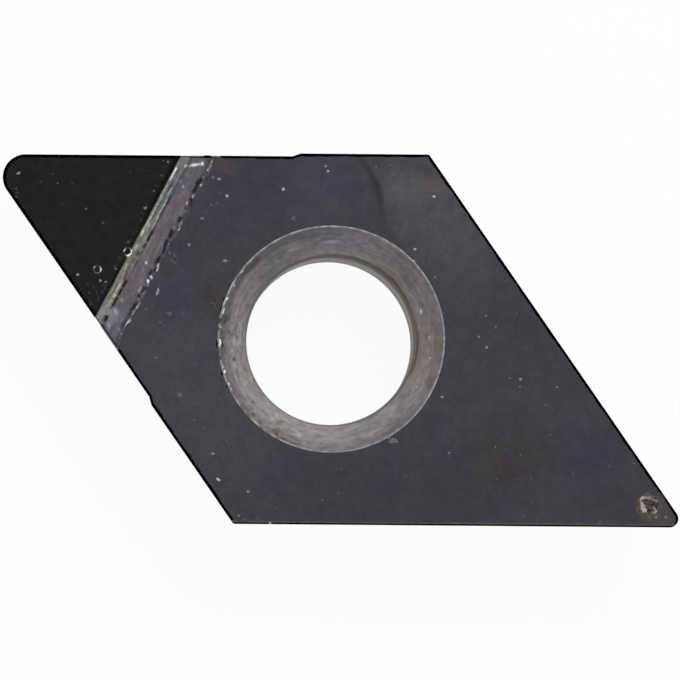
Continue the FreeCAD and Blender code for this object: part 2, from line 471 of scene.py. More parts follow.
def closed_below(plan: Array, z: Array, depth: float) -> Array:
    """Return a round patch's points, with its border and its middle again further down."""
    points = np.concatenate([plan, z[..., None]], axis=2)
    return np.concatenate([points, points[[-1, 0]] - np.array([0.0, 0.0, depth])])


@dataclass
class Skin:
    """A grid of points in millimetres, on its way to becoming a mesh.

    Attributes:
        name: The piece's name.
        points: The grid, as rows, columns and three coordinates, or several such grids.
        closed_rows: Whether the last row joins the first one.
        zones: The material number of each face, in the grid's order.
        marks: Named numbers for each point, which the materials read.
        sharp: The angle above which an edge is shaded as sharp, in degrees.
    """

    name: str
    points: Array
    closed_rows: bool = False
    zones: Array | None = None
    marks: dict[str, Array] = field(default_factory=dict)
    sharp: float = 28.0

    def _fill(self, mesh: bpy.types.Mesh) -> None:
        """Put the points, the faces, their zones and the marks into an empty mesh."""
        grids = self.points.reshape(-1, *self.points.shape[-3:])
        count, rows, columns = grids.shape[:3]
        faces = grid_faces(rows, columns, self.closed_rows, True)
        starts = np.arange(count) * rows * columns
        faces = (faces[None] + starts[:, None, None]).reshape(-1, 4)
        mesh.vertices.add(count * rows * columns)
        mesh.vertices.foreach_set("co", (grids * MILLIMETRE).ravel())
        mesh.loops.add(faces.size)
        mesh.loops.foreach_set("vertex_index", faces.ravel())
        mesh.polygons.add(len(faces))
        mesh.polygons.foreach_set("loop_start", np.arange(len(faces)) * 4)
        if self.zones is not None:
            mesh.polygons.foreach_set("material_index", self.zones.ravel())
        for label, values in self.marks.items():
            mesh.attributes.new(label, "FLOAT", "POINT").data.foreach_set("value", values.ravel())
        mesh.update(calc_edges=True)

    def make(self, finishes: Sequence[Material]) -> Piece:
        """Make the mesh object: merge doubles, turn the faces outwards and shade it.

        Args:
            finishes: The materials, in the order of the zones.

        Returns:
            The object, in the scene, at the origin.
        """
        mesh = bpy.data.meshes.new(self.name)
        for finish in finishes:
            mesh.materials.append(finish)
        self._fill(mesh)
        shell = bmesh.new()
        shell.from_mesh(mesh)
        bmesh.ops.remove_doubles(shell, verts=shell.verts, dist=MERGE_REACH * MILLIMETRE)
        bmesh.ops.recalc_face_normals(shell, faces=shell.faces)
        shell.to_mesh(mesh)
        shell.free()
        mesh.shade_smooth()
        mesh.set_sharp_from_angle(angle=math.radians(self.sharp))
        return new_object(self.name, mesh)


def settle(piece: Piece, stands_for: str | None = None) -> Piece:
    """Let a piece ride with the insert, hide the node it stands for, and return it."""
    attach(piece, "root")
    if stands_for:
        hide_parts(stands_for)
    LOG.info("%s: %d faces", piece.name, len(piece.data.polygons))
    return piece


# Finishes

def linear(colour: Colour) -> tuple[float, float, float, float]:
    """Turn a display colour of 0 to 255 into the shader's linear one."""
    shares = [channel / 255.0 for channel in colour]
    plain = [s / 12.92 if s <= 0.04045 else ((s + 0.055) / 1.055) ** 2.4 for s in shares]
    return (*plain, 1.0)


class Nodes:
    """A node tree, written as calls that return nodes and sockets."""

    def __init__(self, tree: bpy.types.NodeTree) -> None:
        """Keep the tree."""
        self.tree = tree

    def add(self, kind: str, inputs: dict | None = None, **settings: object) -> bpy.types.Node:
        """Add a node, with its settings and its inputs, each a socket or a plain value."""
        node = self.tree.nodes.new(kind)
        for key, value in settings.items():
            setattr(node, key, value)
        for key, value in (inputs or {}).items():
            self.put(node.inputs[key], value)
        return node

    def put(self, socket: Socket, value: object) -> None:
        """Link a socket, or set its plain value."""
        if isinstance(value, bpy.types.NodeSocket):
            self.tree.links.new(value, socket)
        else:
            socket.default_value = value

    def math(self, operation: str, first: object, second: object = 0.0, third: object = 0.0) -> Socket:
        """Return a sum, product or other result of two or three numbers."""
        inputs = {0: first, 1: second, 2: third}
        return self.add("ShaderNodeMath", inputs, operation=operation).outputs[0]

    def times(self, first: object, second: object) -> Socket:
        """Return the product of two numbers."""
        return self.math("MULTIPLY", first, second)

    def scaled(self, value: object, factor: object, offset: object) -> Socket:
        """Return a number times a factor, plus an offset."""
        return self.math("MULTIPLY_ADD", value, factor, offset)


class Sheet(Nodes):
    """The nodes of one material, whose places are Object coordinates in millimetres."""

    def __init__(self, name: str) -> None:
        """Start a material with a plain shader."""
        self.material = bpy.data.materials.new(name)
        self.material.use_nodes = True
        super().__init__(self.material.node_tree)
        self.shader = self.tree.nodes["Principled BSDF"]
        metres = self.add("ShaderNodeTexCoord").outputs["Object"]
        scale = self.add("ShaderNodeVectorMath", {0: metres, "Scale": 1000.0}, operation="SCALE")
        self.place = scale.outputs["Vector"]

    def set(self, **inputs: object) -> None:
        """Put values on the shader's own sockets, named with underscores for spaces."""
        for key, value in inputs.items():
            self.put(self.shader.inputs[key.replace("_", " ")], value)

    def done(self, colour: Socket, roughness: float, metallic: float = 0.0, gloss: float = 0.5) -> Material:
        """Put the colour and the plain values on the shader, and return the material."""
        self.set(Base_Color=colour, Roughness=roughness, Metallic=metallic, Specular_IOR_Level=gloss)
        return self.material

    def sway(self, value: Socket, reach: float) -> Socket:
        """Turn a noise about 0.5 into a factor about 1, which strays from it by up to a reach."""
        return self.scaled(value, 2.0 * reach, 1.0 - reach)

    def step(self, value: object, low: float, high: float, top: float = 1.0) -> Socket:
        """Return a soft step from 0 at low to its top at high."""
        inputs = {"Value": value, "From Min": low, "From Max": high, "To Min": 0.0, "To Max": top}
        node = self.add("ShaderNodeMapRange", inputs, interpolation_type="SMOOTHSTEP")
        return node.outputs["Result"]

    def mix(self, share: object, first: object, second: object) -> Socket:
        """Return a colour between two others, each a socket or a display colour."""
        node = self.add("ShaderNodeMix", data_type="RGBA")
        self.put(node.inputs[0], share)
        for number, colour in ((6, first), (7, second)):
            self.put(node.inputs[number], linear(colour) if isinstance(colour, tuple) else colour)
        return node.outputs[2]

    def shade(self, colour: object, *amounts: object) -> Socket:
        """Return a colour made lighter or darker, by amounts that are each 1 for no change."""
        for amount in amounts:
            inputs = {0: colour, "Scale": amount}
            colour = self.add("ShaderNodeVectorMath", inputs, operation="SCALE").outputs[0]
        return colour

    def noise(self, scale: float, detail: float = 2.0, place: Socket | None = None,
              twist: float = 0.0) -> Socket:
        """Return a soft noise of about 0.5, with its scale in waves a millimetre."""
        inputs = {"Vector": place or self.place, "Scale": scale, "Detail": detail, "Distortion": twist}
        return self.add("ShaderNodeTexNoise", inputs).outputs["Fac"]

    def grain(self, reach: float, scale: float, detail: float = 2.0, twist: float = 0.0) -> Socket:
        """Return a noise as a factor about 1, which strays from it by up to a reach."""
        return self.sway(self.noise(scale, detail, twist=twist), reach)

    def banded(self, third: Socket, rate: float) -> Socket:
        """Return places with a number times a rate as their third part, for a noise in bands."""
        x, y, _ = self.parts()
        return self.add("ShaderNodeCombineXYZ", {0: x, 1: y, 2: self.times(third, rate)}).outputs[0]

    def cells(self, scale: float, place: Socket | None = None) -> Socket:
        """Return each place's distance from its nearest scattered point."""
        inputs = {"Vector": place or self.place, "Scale": scale}
        return self.add("ShaderNodeTexVoronoi", inputs).outputs["Distance"]

    def laid(self, turn: float = 0.0, reach: tuple[float, float, float] = (1.0, 1.0, 1.0),
             centre: tuple[float, float, float] = (0.0, 0.0, 0.0)) -> Socket:
        """Return places measured from a centre, along turned axes, in units of a reach each."""
        inputs = {"Vector": self.place, "Location": centre, "Rotation": (0.0, 0.0, turn), "Scale": reach}
        return self.add("ShaderNodeMapping", inputs, vector_type="TEXTURE").outputs["Vector"]

    def patch(self, pixel: tuple[float, float], reach: tuple[float, float], turn: float = 0.0,
              core: float = 0.0) -> Socket:
        """Return a soft oval patch: 1 at its core, and 0 one reach away from its centre.

        Args:
            pixel: The centre in the photograph.
            reach: The reach along and across, in photograph pixels.
            turn: Its direction in degrees, against the clock.
            core: The share of the reach that is fully covered.
        """
        centre = PHOTO.to_part([pixel])[0]
        sizes = (reach[0] * PHOTO.pixel, reach[1] * PHOTO.pixel, SIZES.thickness)
        place = self.laid(math.radians(turn), sizes, (centre[0], centre[1], SIZES.thickness))
        away = self.add("ShaderNodeVectorMath", {0: place}, operation="LENGTH").outputs["Value"]
        return self.math("SUBTRACT", 1.0, self.step(away, core, 1.0))

    def lay(self, colour: object, rows: Sequence[tuple]) -> Socket:
        """Lay soft patches over a colour, one after another, and return the result.

        Args:
            colour: The colour under them.
            rows: Each patch's pixel place, reaches, turn, core, tint and strength.
        """
        for x, y, along, across, turn, core, tint, strength in rows:
            patch = self.patch((x, y), (along, across), turn, core)
            colour = self.mix(self.times(patch, strength), colour, tint)
        return colour

    def parts(self, place: Socket | None = None) -> tuple[Socket, Socket, Socket]:
        """Return the three coordinates of a place."""
        node = self.add("ShaderNodeSeparateXYZ", {0: place or self.place})
        return node.outputs["X"], node.outputs["Y"], node.outputs["Z"]

    def towards(self, degrees: float, low: float, high: float) -> Socket:
        """Return how far places lie in one direction from the hole's axis, as a soft step.

        Args:
            degrees: The direction, against the clock from the insert's length.
            low: The cosine of the angle to it at which the step starts.
            high: The cosine at which it is 1.
        """
        x, y, _ = self.parts()
        flat = self.add("ShaderNodeCombineXYZ", {0: x, 1: y}).outputs[0]
        way = self.add("ShaderNodeVectorMath", {0: flat}, operation="NORMALIZE").outputs["Vector"]
        aim = (math.cos(math.radians(degrees)), math.sin(math.radians(degrees)), 0.0)
        turned = self.add("ShaderNodeVectorMath", {0: way, 1: aim}, operation="DOT_PRODUCT")
        return self.step(turned.outputs["Value"], low, high)

    def mark(self, label: str) -> Socket:
        """Return one of the mesh's own marks."""
        return self.add("ShaderNodeAttribute", attribute_name=label).outputs["Fac"]

    def by_mark(self, label: str, colour: object, pale: Colour, dark: Colour,
                low: float = 0.0, high: float = 1.0) -> Socket:
        """Return a colour that turns pale where a mark is above 0, and dark where it is below.

        Args:
            label: The mark's name.
            colour: The colour where the mark is 0.
            pale: The colour where it is high.
            dark: The colour where it is as far below 0.
            low: How far from 0 the change starts.
            high: How far from 0 it is complete.
        """
        mark = self.mark(label)
        colour = self.mix(self.step(mark, low, high), colour, pale)
        return self.mix(self.step(mark, -low, -high), colour, dark)

    def bump(self, height: Socket, depth: float) -> None:
        """Give the surface a relief of about a depth in millimetres."""
        inputs = {"Height": height, "Strength": 1.0, "Distance": depth * MILLIMETRE}
        self.set(Normal=self.add("ShaderNodeBump", inputs).outputs["Normal"])


@dataclass(frozen=True)
class HeatTint:
    """The top face: dark sintered carbide under a thin, uneven heat tint."""

    base: Colour = (65, 65, 71)
    pale: Colour = (79, 78, 82)
    blue: Colour = (61, 61, 75)
    slate: Colour = (71, 72, 77)
    dusk: Colour = (60, 60, 67)
    brown: Colour = (64, 59, 55)
    red: Colour = (65, 57, 61)
    green: Colour = (60, 62, 62)
    soot: Colour = (78, 70, 69)
    groove: Colour = (50, 50, 53)
    flaw: Colour = (36, 36, 40)
    crease: tuple = ((360.5, 157.0), (380.0, 200.0))
    sheen: float = 0.85

    def beyond_crease(self, sheet: Sheet) -> tuple[Socket, Socket]:
        """Return where the tint lies beyond the crease near the top edge, and the crease itself."""
        start, end = PHOTO.to_part(self.crease)
        turn = math.atan2(*(end - start)[::-1])
        place = sheet.laid(turn, (1.0, 1.0, 1.0), (start[0], start[1], SIZES.thickness))
        along, across, _ = sheet.parts(place)
        bend = sheet.scaled(sheet.noise(1.3, 2.0), 0.5, -0.25)
        across = sheet.math("ADD", across, bend)
        line = sheet.times(sheet.step(across, -0.1, -0.01), sheet.step(across, 0.09, 0.01))
        return sheet.step(across, -0.1, 0.12), sheet.times(line, sheet.step(along, 1.6, 0.5))

    def make(self) -> Material:
        """Lay soft patches over the base, then mottle and grain them."""
        sheet = Sheet("heat_tinted_top")
        beyond, crease = self.beyond_crease(sheet)
        high = sheet.times(sheet.patch((440, 205), (130, 90), -50.0, 0.25), beyond)
        colour = sheet.lay(self.base, (
            (235, 200, 95, 75, 0, 0, self.blue, 0.55),
            (325, 190, 62, 50, 0, 0, (70, 70, 84), 0.85),
            (200, 385, 130, 70, -55, 0.3, self.slate, 0.9),
            (268, 488, 70, 40, -50, 0.3, (71, 70, 76), 0.8),
            (286, 474, 36, 30, -40, 0.4, (62, 64, 79), 0.7),
            (380, 500, 190, 60, 0, 0.4, self.dusk, 0.8),
        ))
        colour = sheet.mix(sheet.times(high, 0.95), colour, self.pale)
        colour = sheet.lay(colour, (
            (410, 188, 34, 26, 0, 0.3, (90, 88, 90), 0.85),
            (520, 330, 90, 60, -50, 0, (64, 62, 69), 0.7),
            (174, 298, 34, 44, 0, 0.4, (63, 64, 78), 0.8),
            (214, 302, 30, 20, 70, 0, self.brown, 0.85),
            (588, 458, 70, 55, -30, 0.2, self.blue, 0.75),
            (505, 458, 70, 56, 0, 0.3, self.green, 0.85),
            (511, 466, 26, 22, 0, 0.2, self.red, 0.9),
            (617, 505, 60, 30, 0, 0.3, self.dusk, 0.7),
            (657, 511, 28, 19, -20, 0.55, self.soot, 0.9),
            (222, 166, 20, 11, -10, 0.3, (84, 74, 73), 0.7),
            (438, 186, 18, 12, 0, 0.3, (92, 82, 84), 0.6),
        ))
        colour = sheet.mix(sheet.times(crease, 0.75), colour, self.groove)
        drift = sheet.noise(1.5, 3.0, twist=0.5)
        colour = sheet.mix(sheet.step(drift, 0.5, 0.72, 0.3), colour, (72, 66, 66))
        colour = sheet.mix(sheet.step(drift, 0.5, 0.3, 0.35), colour, (58, 59, 74))
        mottle = sheet.grain(0.24, 4.5, 4.0, twist=0.3)
        grain = sheet.grain(0.2, 15.0, 3.0)
        flaws = sheet.step(sheet.cells(5.5), 0.12, 0.04, 0.35)
        colour = sheet.mix(flaws, sheet.shade(colour, mottle, grain, self.sheen), self.flaw)
        sheet.bump(sheet.noise(40.0, 3.0), 0.0012)
        return sheet.done(colour, 0.5, gloss=0.06)


@dataclass(frozen=True)
class Hone:
    """The narrow hone along the top edges: black painted shade, with a grey line of painted light along the
    lower long edge.
    """

    # Black: painted shade on the hone. Grey: painted light along the lower long edge.
    black: Colour = (2, 2, 3)
    grey: Colour = (96, 90, 92)

    def make(self) -> Material:
        """Lay the grey line of painted light where the edge lies low in the picture, over the black painted
        shade.
        """
        sheet = Sheet("edge_hone_painted_shade")
        _, y, _ = sheet.parts()
        edge = sheet.math("ADD", y, SIZES.free)
        line = sheet.times(sheet.step(edge, 0.028, 0.04), sheet.step(edge, 0.08, 0.06))
        flaw = sheet.grain(0.4, 7.0, 3.0)
        colour = sheet.shade(sheet.mix(line, self.black, self.grey), flaw)
        return sheet.done(colour, 0.6, gloss=0.0)


@dataclass(frozen=True)
class RelievedFlank:
    """The relieved flanks: grey carbide with level grinding lines and small dark pores."""

    name: str = "pressed_flank"
    colour: Colour = (88, 87, 92)
    lines: float = 0.16

    def make(self) -> Material:
        """Draw level grinding lines over a grained grey."""
        sheet = Sheet(self.name)
        _, _, z = sheet.parts()
        lines = sheet.noise(1.6, 4.0, sheet.banded(z, 28.0))
        colour = sheet.mix(sheet.step(sheet.cells(11.0), 0.14, 0.05, 0.25), self.colour, (40, 39, 42))
        cloud = sheet.grain(0.14, 1.4, 3.0)
        colour = sheet.shade(colour, sheet.sway(lines, self.lines), sheet.grain(0.15, 30.0), cloud)
        sheet.bump(lines, 0.003)
        return sheet.done(colour, 0.46, metallic=0.35, gloss=0.3)


@dataclass(frozen=True)
class LappedSeat:
    """The flat underside: pale ground carbide with fine straight lines across it."""

    colour: Colour = (122, 121, 124)
    turn: float = math.radians(18.0)

    def make(self) -> Material:
        """Draw long fine lines in one direction, with a few deeper ones."""
        sheet = Sheet("lapped_seat")
        fine = sheet.noise(1.0, 5.0, sheet.laid(self.turn, (1.6, 0.035, 1.0)))
        deep = sheet.step(sheet.noise(1.0, 3.0, sheet.laid(self.turn, (2.4, 0.09, 1.0))), 0.58, 0.68, 0.35)
        colour = sheet.shade(sheet.mix(deep, self.colour, (72, 71, 74)), sheet.sway(fine, 0.3))
        colour = sheet.shade(colour, sheet.grain(0.12, 1.1, 3.0))
        sheet.bump(fine, 0.002)
        return sheet.done(colour, 0.42, metallic=0.35, gloss=0.3)


@dataclass(frozen=True)
class Countersink:
    """The screw hole's cone: bare worn metal, blotched on the left and browned at its foot, under painted
    light and shade.
    """

    metal: Colour = (141, 137, 140)
    dull: Colour = (124, 121, 127)
    warm: Colour = (148, 137, 135)
    beige: Colour = (146, 139, 131)
    tan: Colour = (146, 133, 114)
    # Dark brown along the foot: brown tint with painted shade.
    brown_and_shade: Colour = (80, 63, 46)
    shelf: Colour = (104, 95, 83)
    spot: Colour = (88, 85, 87)
    bright: Colour = (176, 172, 174)

    def painted_light_tone(self, sheet: Sheet, radius: Socket) -> Socket:
        """Return the cone's painted light and shade: a tone which falls from its foot to its rim, and most on
        the left.

        Args:
            sheet: The material's nodes.
            radius: Each place's distance from the hole's axis.
        """
        foot = SIZES.bore / 2.0
        width = SIZES.countersink / 2.0 - foot
        share = sheet.math("DIVIDE", sheet.math("SUBTRACT", radius, foot), width)
        outer = sheet.step(share, 0.62, 0.86)
        inner = sheet.step(share, 0.55, 0.22)
        left = sheet.towards(165.0, 0.25, 0.9)
        fall = sheet.scaled(left, 0.2, 0.24)
        fall = sheet.scaled(sheet.towards(45.0, 0.6, 0.95), -0.16, fall)
        gain = sheet.scaled(left, -0.16, 0.18)
        tone = sheet.scaled(gain, inner, 1.0)
        return sheet.math("SUBTRACT", tone, sheet.times(fall, outer))

    def brown_and_shaded_foot(self, sheet: Sheet, colour: Socket, radius: Socket) -> Socket:
        """Draw the cone's browned foot on the upper right: a tan line, a dark brown line of brown tint and
        painted shade along the foot, a dull shelf.

        Args:
            sheet: The material's nodes.
            colour: The cone's colour so far.
            radius: Each place's distance from the hole's axis.
        """
        foot = SIZES.bore / 2.0 + SIZES.bore_blend * (1.0 - math.cos(math.radians(30.0)))
        near = sheet.math("MAXIMUM", sheet.patch((398, 292), (58, 66), -50.0, 0.5),
                          sheet.patch((420, 358), (24, 44), 0.0, 0.4))
        wide = sheet.patch((356, 300), (104, 88), -35.0, 0.5)
        wander = sheet.scaled(sheet.noise(2.5, 4.0), 0.07, -0.035 - foot)
        away = sheet.math("ADD", radius, wander)
        away = sheet.scaled(sheet.towards(125.0, 0.5, 1.0), 0.035, away)
        inside = sheet.step(away, 0.01, -0.015)
        colour = sheet.mix(sheet.times(wide, inside), colour, self.shelf)
        tan = sheet.step(sheet.math("ABSOLUTE", sheet.math("SUBTRACT", away, 0.045)), 0.04, 0.01, 0.7)
        colour = sheet.mix(sheet.times(near, tan), colour, self.tan)
        # The dark brown line along the foot: brown tint with painted shade.
        line = sheet.step(sheet.math("ABSOLUTE", away), 0.028, 0.012)
        broken = sheet.times(line, sheet.step(sheet.noise(3.5, 2.0), 0.36, 0.46))
        faint = sheet.times(sheet.times(wide, 0.65), line)
        strong = sheet.times(sheet.times(near, 0.72), broken)
        return sheet.mix(sheet.math("MAXIMUM", strong, faint), colour, self.brown_and_shade)

    def make(self) -> Material:
        """Blotch and brush the cone, paint light and shade over it, brown its foot, and paint shade along its
        very edge.
        """
        sheet = Sheet("countersink")
        x, y, _ = sheet.parts()
        squares = sheet.math("ADD", sheet.times(x, x), sheet.times(y, y))
        radius = sheet.math("SQRT", squares)
        brush = sheet.noise(1.5, 4.0, sheet.banded(radius, 14.0))
        spots = sheet.noise(6.5, 3.0, twist=0.8)
        worn = sheet.math("MAXIMUM", sheet.patch((236, 352), (40, 62), 0.0, 0.3),
                          sheet.patch((285, 425), (62, 30), -35.0, 0.2))
        worn = sheet.scaled(worn, 0.65, 0.15)
        beige = sheet.times(sheet.patch((270, 400), (90, 80), 0.0, 0.5), 0.9)
        beige = sheet.times(beige, sheet.step(sheet.noise(2.2, 3.0, twist=0.6), 0.4, 0.6))
        colour = sheet.lay(sheet.mix(beige, self.metal, self.beige), (
            (283, 262, 66, 36, 38, 0.3, self.dull, 0.75),
            (345, 238, 50, 16, -8, 0.3, (130, 127, 136), 0.7),
            (424, 352, 30, 80, 0, 0.3, self.warm, 0.7),
            (333, 240.5, 15, 2.2, 4, 0.3, (172, 169, 174), 0.7),
            (300, 246, 17, 1.6, 22, 0.3, (160, 157, 162), 0.6),
            (227, 321, 7, 9, 0, 0.3, (84, 84, 74), 0.8),
            (251, 266, 18, 5, 44, 0.4, (88, 81, 80), 0.6),
            (223.5, 356, 4.5, 17, 0, 0.4, (94, 96, 96), 0.3),
            (237.4, 335, 2.2, 4.5, 0, 0.5, (84, 80, 80), 0.75),
            (234.5, 358.5, 2.4, 3, 0, 0.5, (70, 68, 70), 0.8),
            (229, 331, 2.4, 2.4, 0, 0.5, (80, 78, 74), 0.7),
            (254, 401, 3.4, 2.6, -45, 0.2, (96, 90, 90), 0.75),
            (253.6, 414.3, 4.2, 2.6, -40, 0.3, (86, 78, 79), 0.8),
            (254.8, 410.6, 2.2, 1.8, 0, 0.3, (170, 163, 163), 0.7),
            (260.5, 422, 4.6, 2.8, -60, 0.3, (88, 92, 86), 0.75),
            (276.6, 434.1, 3.4, 1.5, -35, 0.4, (66, 62, 62), 0.9),
            (284, 439, 7, 1.7, -20, 0.4, (76, 75, 73), 0.85),
            (297, 443.6, 10, 1.3, -6, 0.3, (98, 92, 86), 0.7),
            (290, 427.5, 2.2, 2.2, 0, 0.2, (116, 114, 114), 0.7),
            (319, 434.5, 4.5, 1.4, 0, 0.3, (116, 110, 112), 0.7),
            (404, 264, 46, 30, 45, 0.3, (126, 122, 124), 0.8),
            # The last six rows are small painted highlights on the cone.
            (422, 310, 1.3, 3, 0, 0.6, (220, 216, 215), 0.9),
            (420, 325, 1.6, 1.6, 0, 0.6, (176, 168, 160), 0.8),
            (430, 336, 1.5, 1.5, 0, 0.6, (190, 186, 186), 0.8),
            (431, 357, 1.5, 1.8, 0, 0.6, (190, 186, 186), 0.8),
            (418, 386, 1.6, 1.6, 0, 0.6, (190, 186, 186), 0.8),
            (367, 239, 1.5, 2.5, 0, 0.6, (170, 166, 166), 0.7),
        ))
        colour = sheet.mix(sheet.times(worn, sheet.step(spots, 0.54, 0.7)), colour, self.spot)
        colour = sheet.mix(sheet.times(worn, sheet.step(spots, 0.46, 0.28)), colour, self.bright)
        colour = sheet.shade(colour, sheet.sway(brush, 0.46), sheet.grain(0.42, 2.6, 4.0, twist=0.4))
        colour = sheet.shade(colour, sheet.grain(0.5, 8.0, 4.0))
        # Painted light and shade: lighter by the foot, darker towards the rim, varied by direction.
        colour = sheet.shade(colour, self.painted_light_tone(sheet, radius))
        colour = self.brown_and_shaded_foot(sheet, colour, radius)
        # Painted shade along the cone's ragged edge at the bore.
        ragged = sheet.scaled(sheet.noise(9.0, 3.0), 0.03, -0.015)
        low = sheet.math("ADD", radius, ragged)
        side = sheet.math("MAXIMUM", sheet.towards(137.0, 0.75, 0.98), sheet.towards(317.0, 0.75, 0.98))
        low = sheet.scaled(side, -0.014, low)
        edge = sheet.step(low, SIZES.bore / 2.0 + 0.048, SIZES.bore / 2.0 + 0.022, 0.85)
        colour = sheet.mix(edge, colour, (80, 75, 76))
        sheet.bump(sheet.math("ADD", brush, sheet.times(worn, spots)), 0.005)
        return sheet.done(colour, 0.48, metallic=0.2, gloss=0.3)


@dataclass(frozen=True)
class BoreWall:
    """The bore's wall: bare metal with faint level bands, dark at its lower mouth."""

    metal: Colour = (120, 112, 102)
    dark: Colour = (84, 77, 70)

    def make(self) -> Material:
        """Draw level bands down the bore, with fine lines over them."""
        sheet = Sheet("bore_wall")
        _, _, z = sheet.parts()
        band = sheet.step(sheet.noise(0.9, 4.0, sheet.banded(z, 3.0)), 0.38, 0.6)
        lines = sheet.noise(1.2, 4.0, sheet.banded(z, 24.0))
        colour = sheet.shade(sheet.mix(band, self.dark, self.metal), sheet.sway(lines, 0.2))
        colour = sheet.mix(sheet.step(z, 0.34, 0.12, 0.8), colour, (66, 60, 57))
        sheet.bump(lines, 0.003)
        return sheet.done(colour, 0.5, metallic=0.3)


@dataclass(frozen=True)
class RimHighlight:
    """The countersink's outer rim: a pale line of painted highlight, brightest and broken on the left, with
    painted shade towards the lower left.
    """

    plain: Colour = (128, 126, 130)
    pale: Colour = (160, 157, 161)
    bright: Colour = (198, 195, 196)
    dark: Colour = (62, 60, 64)

    def make(self) -> Material:
        """Break the painted highlight into paler and darker lengths, and paint shade towards the lower left.
        """
        sheet = Sheet("rim_painted_highlight")
        # Where the brightest painted highlights and the dark painted shade beside them lie.
        low = sheet.times(sheet.patch((262, 415), (50, 40), -45.0, 0.3), 0.5)
        worn = sheet.math("MAXIMUM", sheet.patch((222, 330), (40, 80), 0.0, 0.5), low)
        breaks = sheet.noise(8.0, 4.0)
        colour = sheet.mix(sheet.step(breaks, 0.42, 0.58), self.plain, self.pale)
        colour = sheet.mix(sheet.times(worn, sheet.step(breaks, 0.56, 0.66)), colour, self.bright)
        colour = sheet.mix(sheet.times(worn, sheet.step(breaks, 0.49, 0.41)), colour, self.dark)
        # Painted shade, darker towards the lower left.
        colour = sheet.shade(colour, sheet.scaled(sheet.towards(225.0, -0.3, 0.7), -0.36, 1.0))
        return sheet.done(colour, 0.4, metallic=0.1, gloss=0.3)


@dataclass(frozen=True)
class SinteredDiamond:
    """The diamond table: near-black and polished, with fine grain, olive specks by the seam, and painted
    shade along its back edge.
    """

    base: Colour = (28, 28, 29)
    warm: Colour = (31, 30, 28)
    speck: Colour = (70, 65, 49)
    black: Colour = (8, 8, 7)

    def make(self) -> Material:
        """Mottle and grain the black, scatter specks near the seam, and paint shade along the back edge."""
        sheet = Sheet("sintered_diamond")
        colour = sheet.mix(sheet.step(sheet.noise(3.0, 3.0), 0.4, 0.65), self.base, self.warm)
        u, _, _ = sheet.parts(sheet.laid(-SIZES.half))
        near = sheet.step(u, SIZES.tip_back - 0.26, SIZES.tip_back - 0.06)
        rough = sheet.noise(11.0, 3.0, twist=0.5)
        share = sheet.times(sheet.scaled(near, 0.8, 0.04), sheet.step(rough, 0.56, 0.7))
        colour = sheet.mix(share, colour, self.speck)
        # Painted shade in the gap along the back edge, where the braze meets the diamond.
        broad = sheet.scaled(sheet.patch((168, 182), (60, 36), 62.0, 0.5), 0.04, -0.07)
        edge = sheet.scaled(rough, 0.14, sheet.math("ADD", u, broad))
        black = sheet.step(edge, SIZES.tip_back - 0.055, SIZES.tip_back - 0.01, 0.85)
        colour = sheet.mix(black, colour, self.black)
        colour = sheet.shade(colour, sheet.grain(0.3, 18.0, 4.0), sheet.grain(0.25, 6.0, 3.0))
        sheet.bump(sheet.noise(60.0, 2.0), 0.0006)
        return sheet.done(colour, 0.3, gloss=0.04)


@dataclass(frozen=True)
class SilverBraze:
    """The pale braze: streaky and granular along the seam, yellowish, greener at its lower end."""

    pale: Colour = (122, 119, 106)
    green: Colour = (94, 98, 90)
    cold: Colour = (96, 101, 102)
    frost: Colour = (116, 122, 121)
    dark: Colour = (28, 27, 26)
    white: Colour = (216, 216, 208)

    def make(self) -> Material:
        """Streak the braze along the seam, then darken and brighten it by its marks, with painted shade and
        painted highlights among them.
        """
        sheet = Sheet("silver_braze")
        streak = sheet.noise(1.0, 4.0, sheet.laid(-SIZES.half, (0.03, 0.16, 1.0)))
        colour = sheet.mix(sheet.step(streak, 0.4, 0.62), self.green, self.pale)
        colour = sheet.lay(colour, (
            (180, 172, 60, 34, 62, 0.4, self.cold, 0.8),
            (101, 312, 16, 14, 62, 0, self.frost, 0.8),
        ))
        # The shade mark: dark is partly painted shade, pale partly painted highlight.
        colour = sheet.by_mark("shade", colour, self.white, self.dark)
        colour = sheet.shade(colour, sheet.sway(streak, 0.35), sheet.grain(0.4, 9.0, 4.0))
        sheet.bump(streak, 0.003)
        return sheet.done(colour, 0.42, metallic=0.25, gloss=0.3)


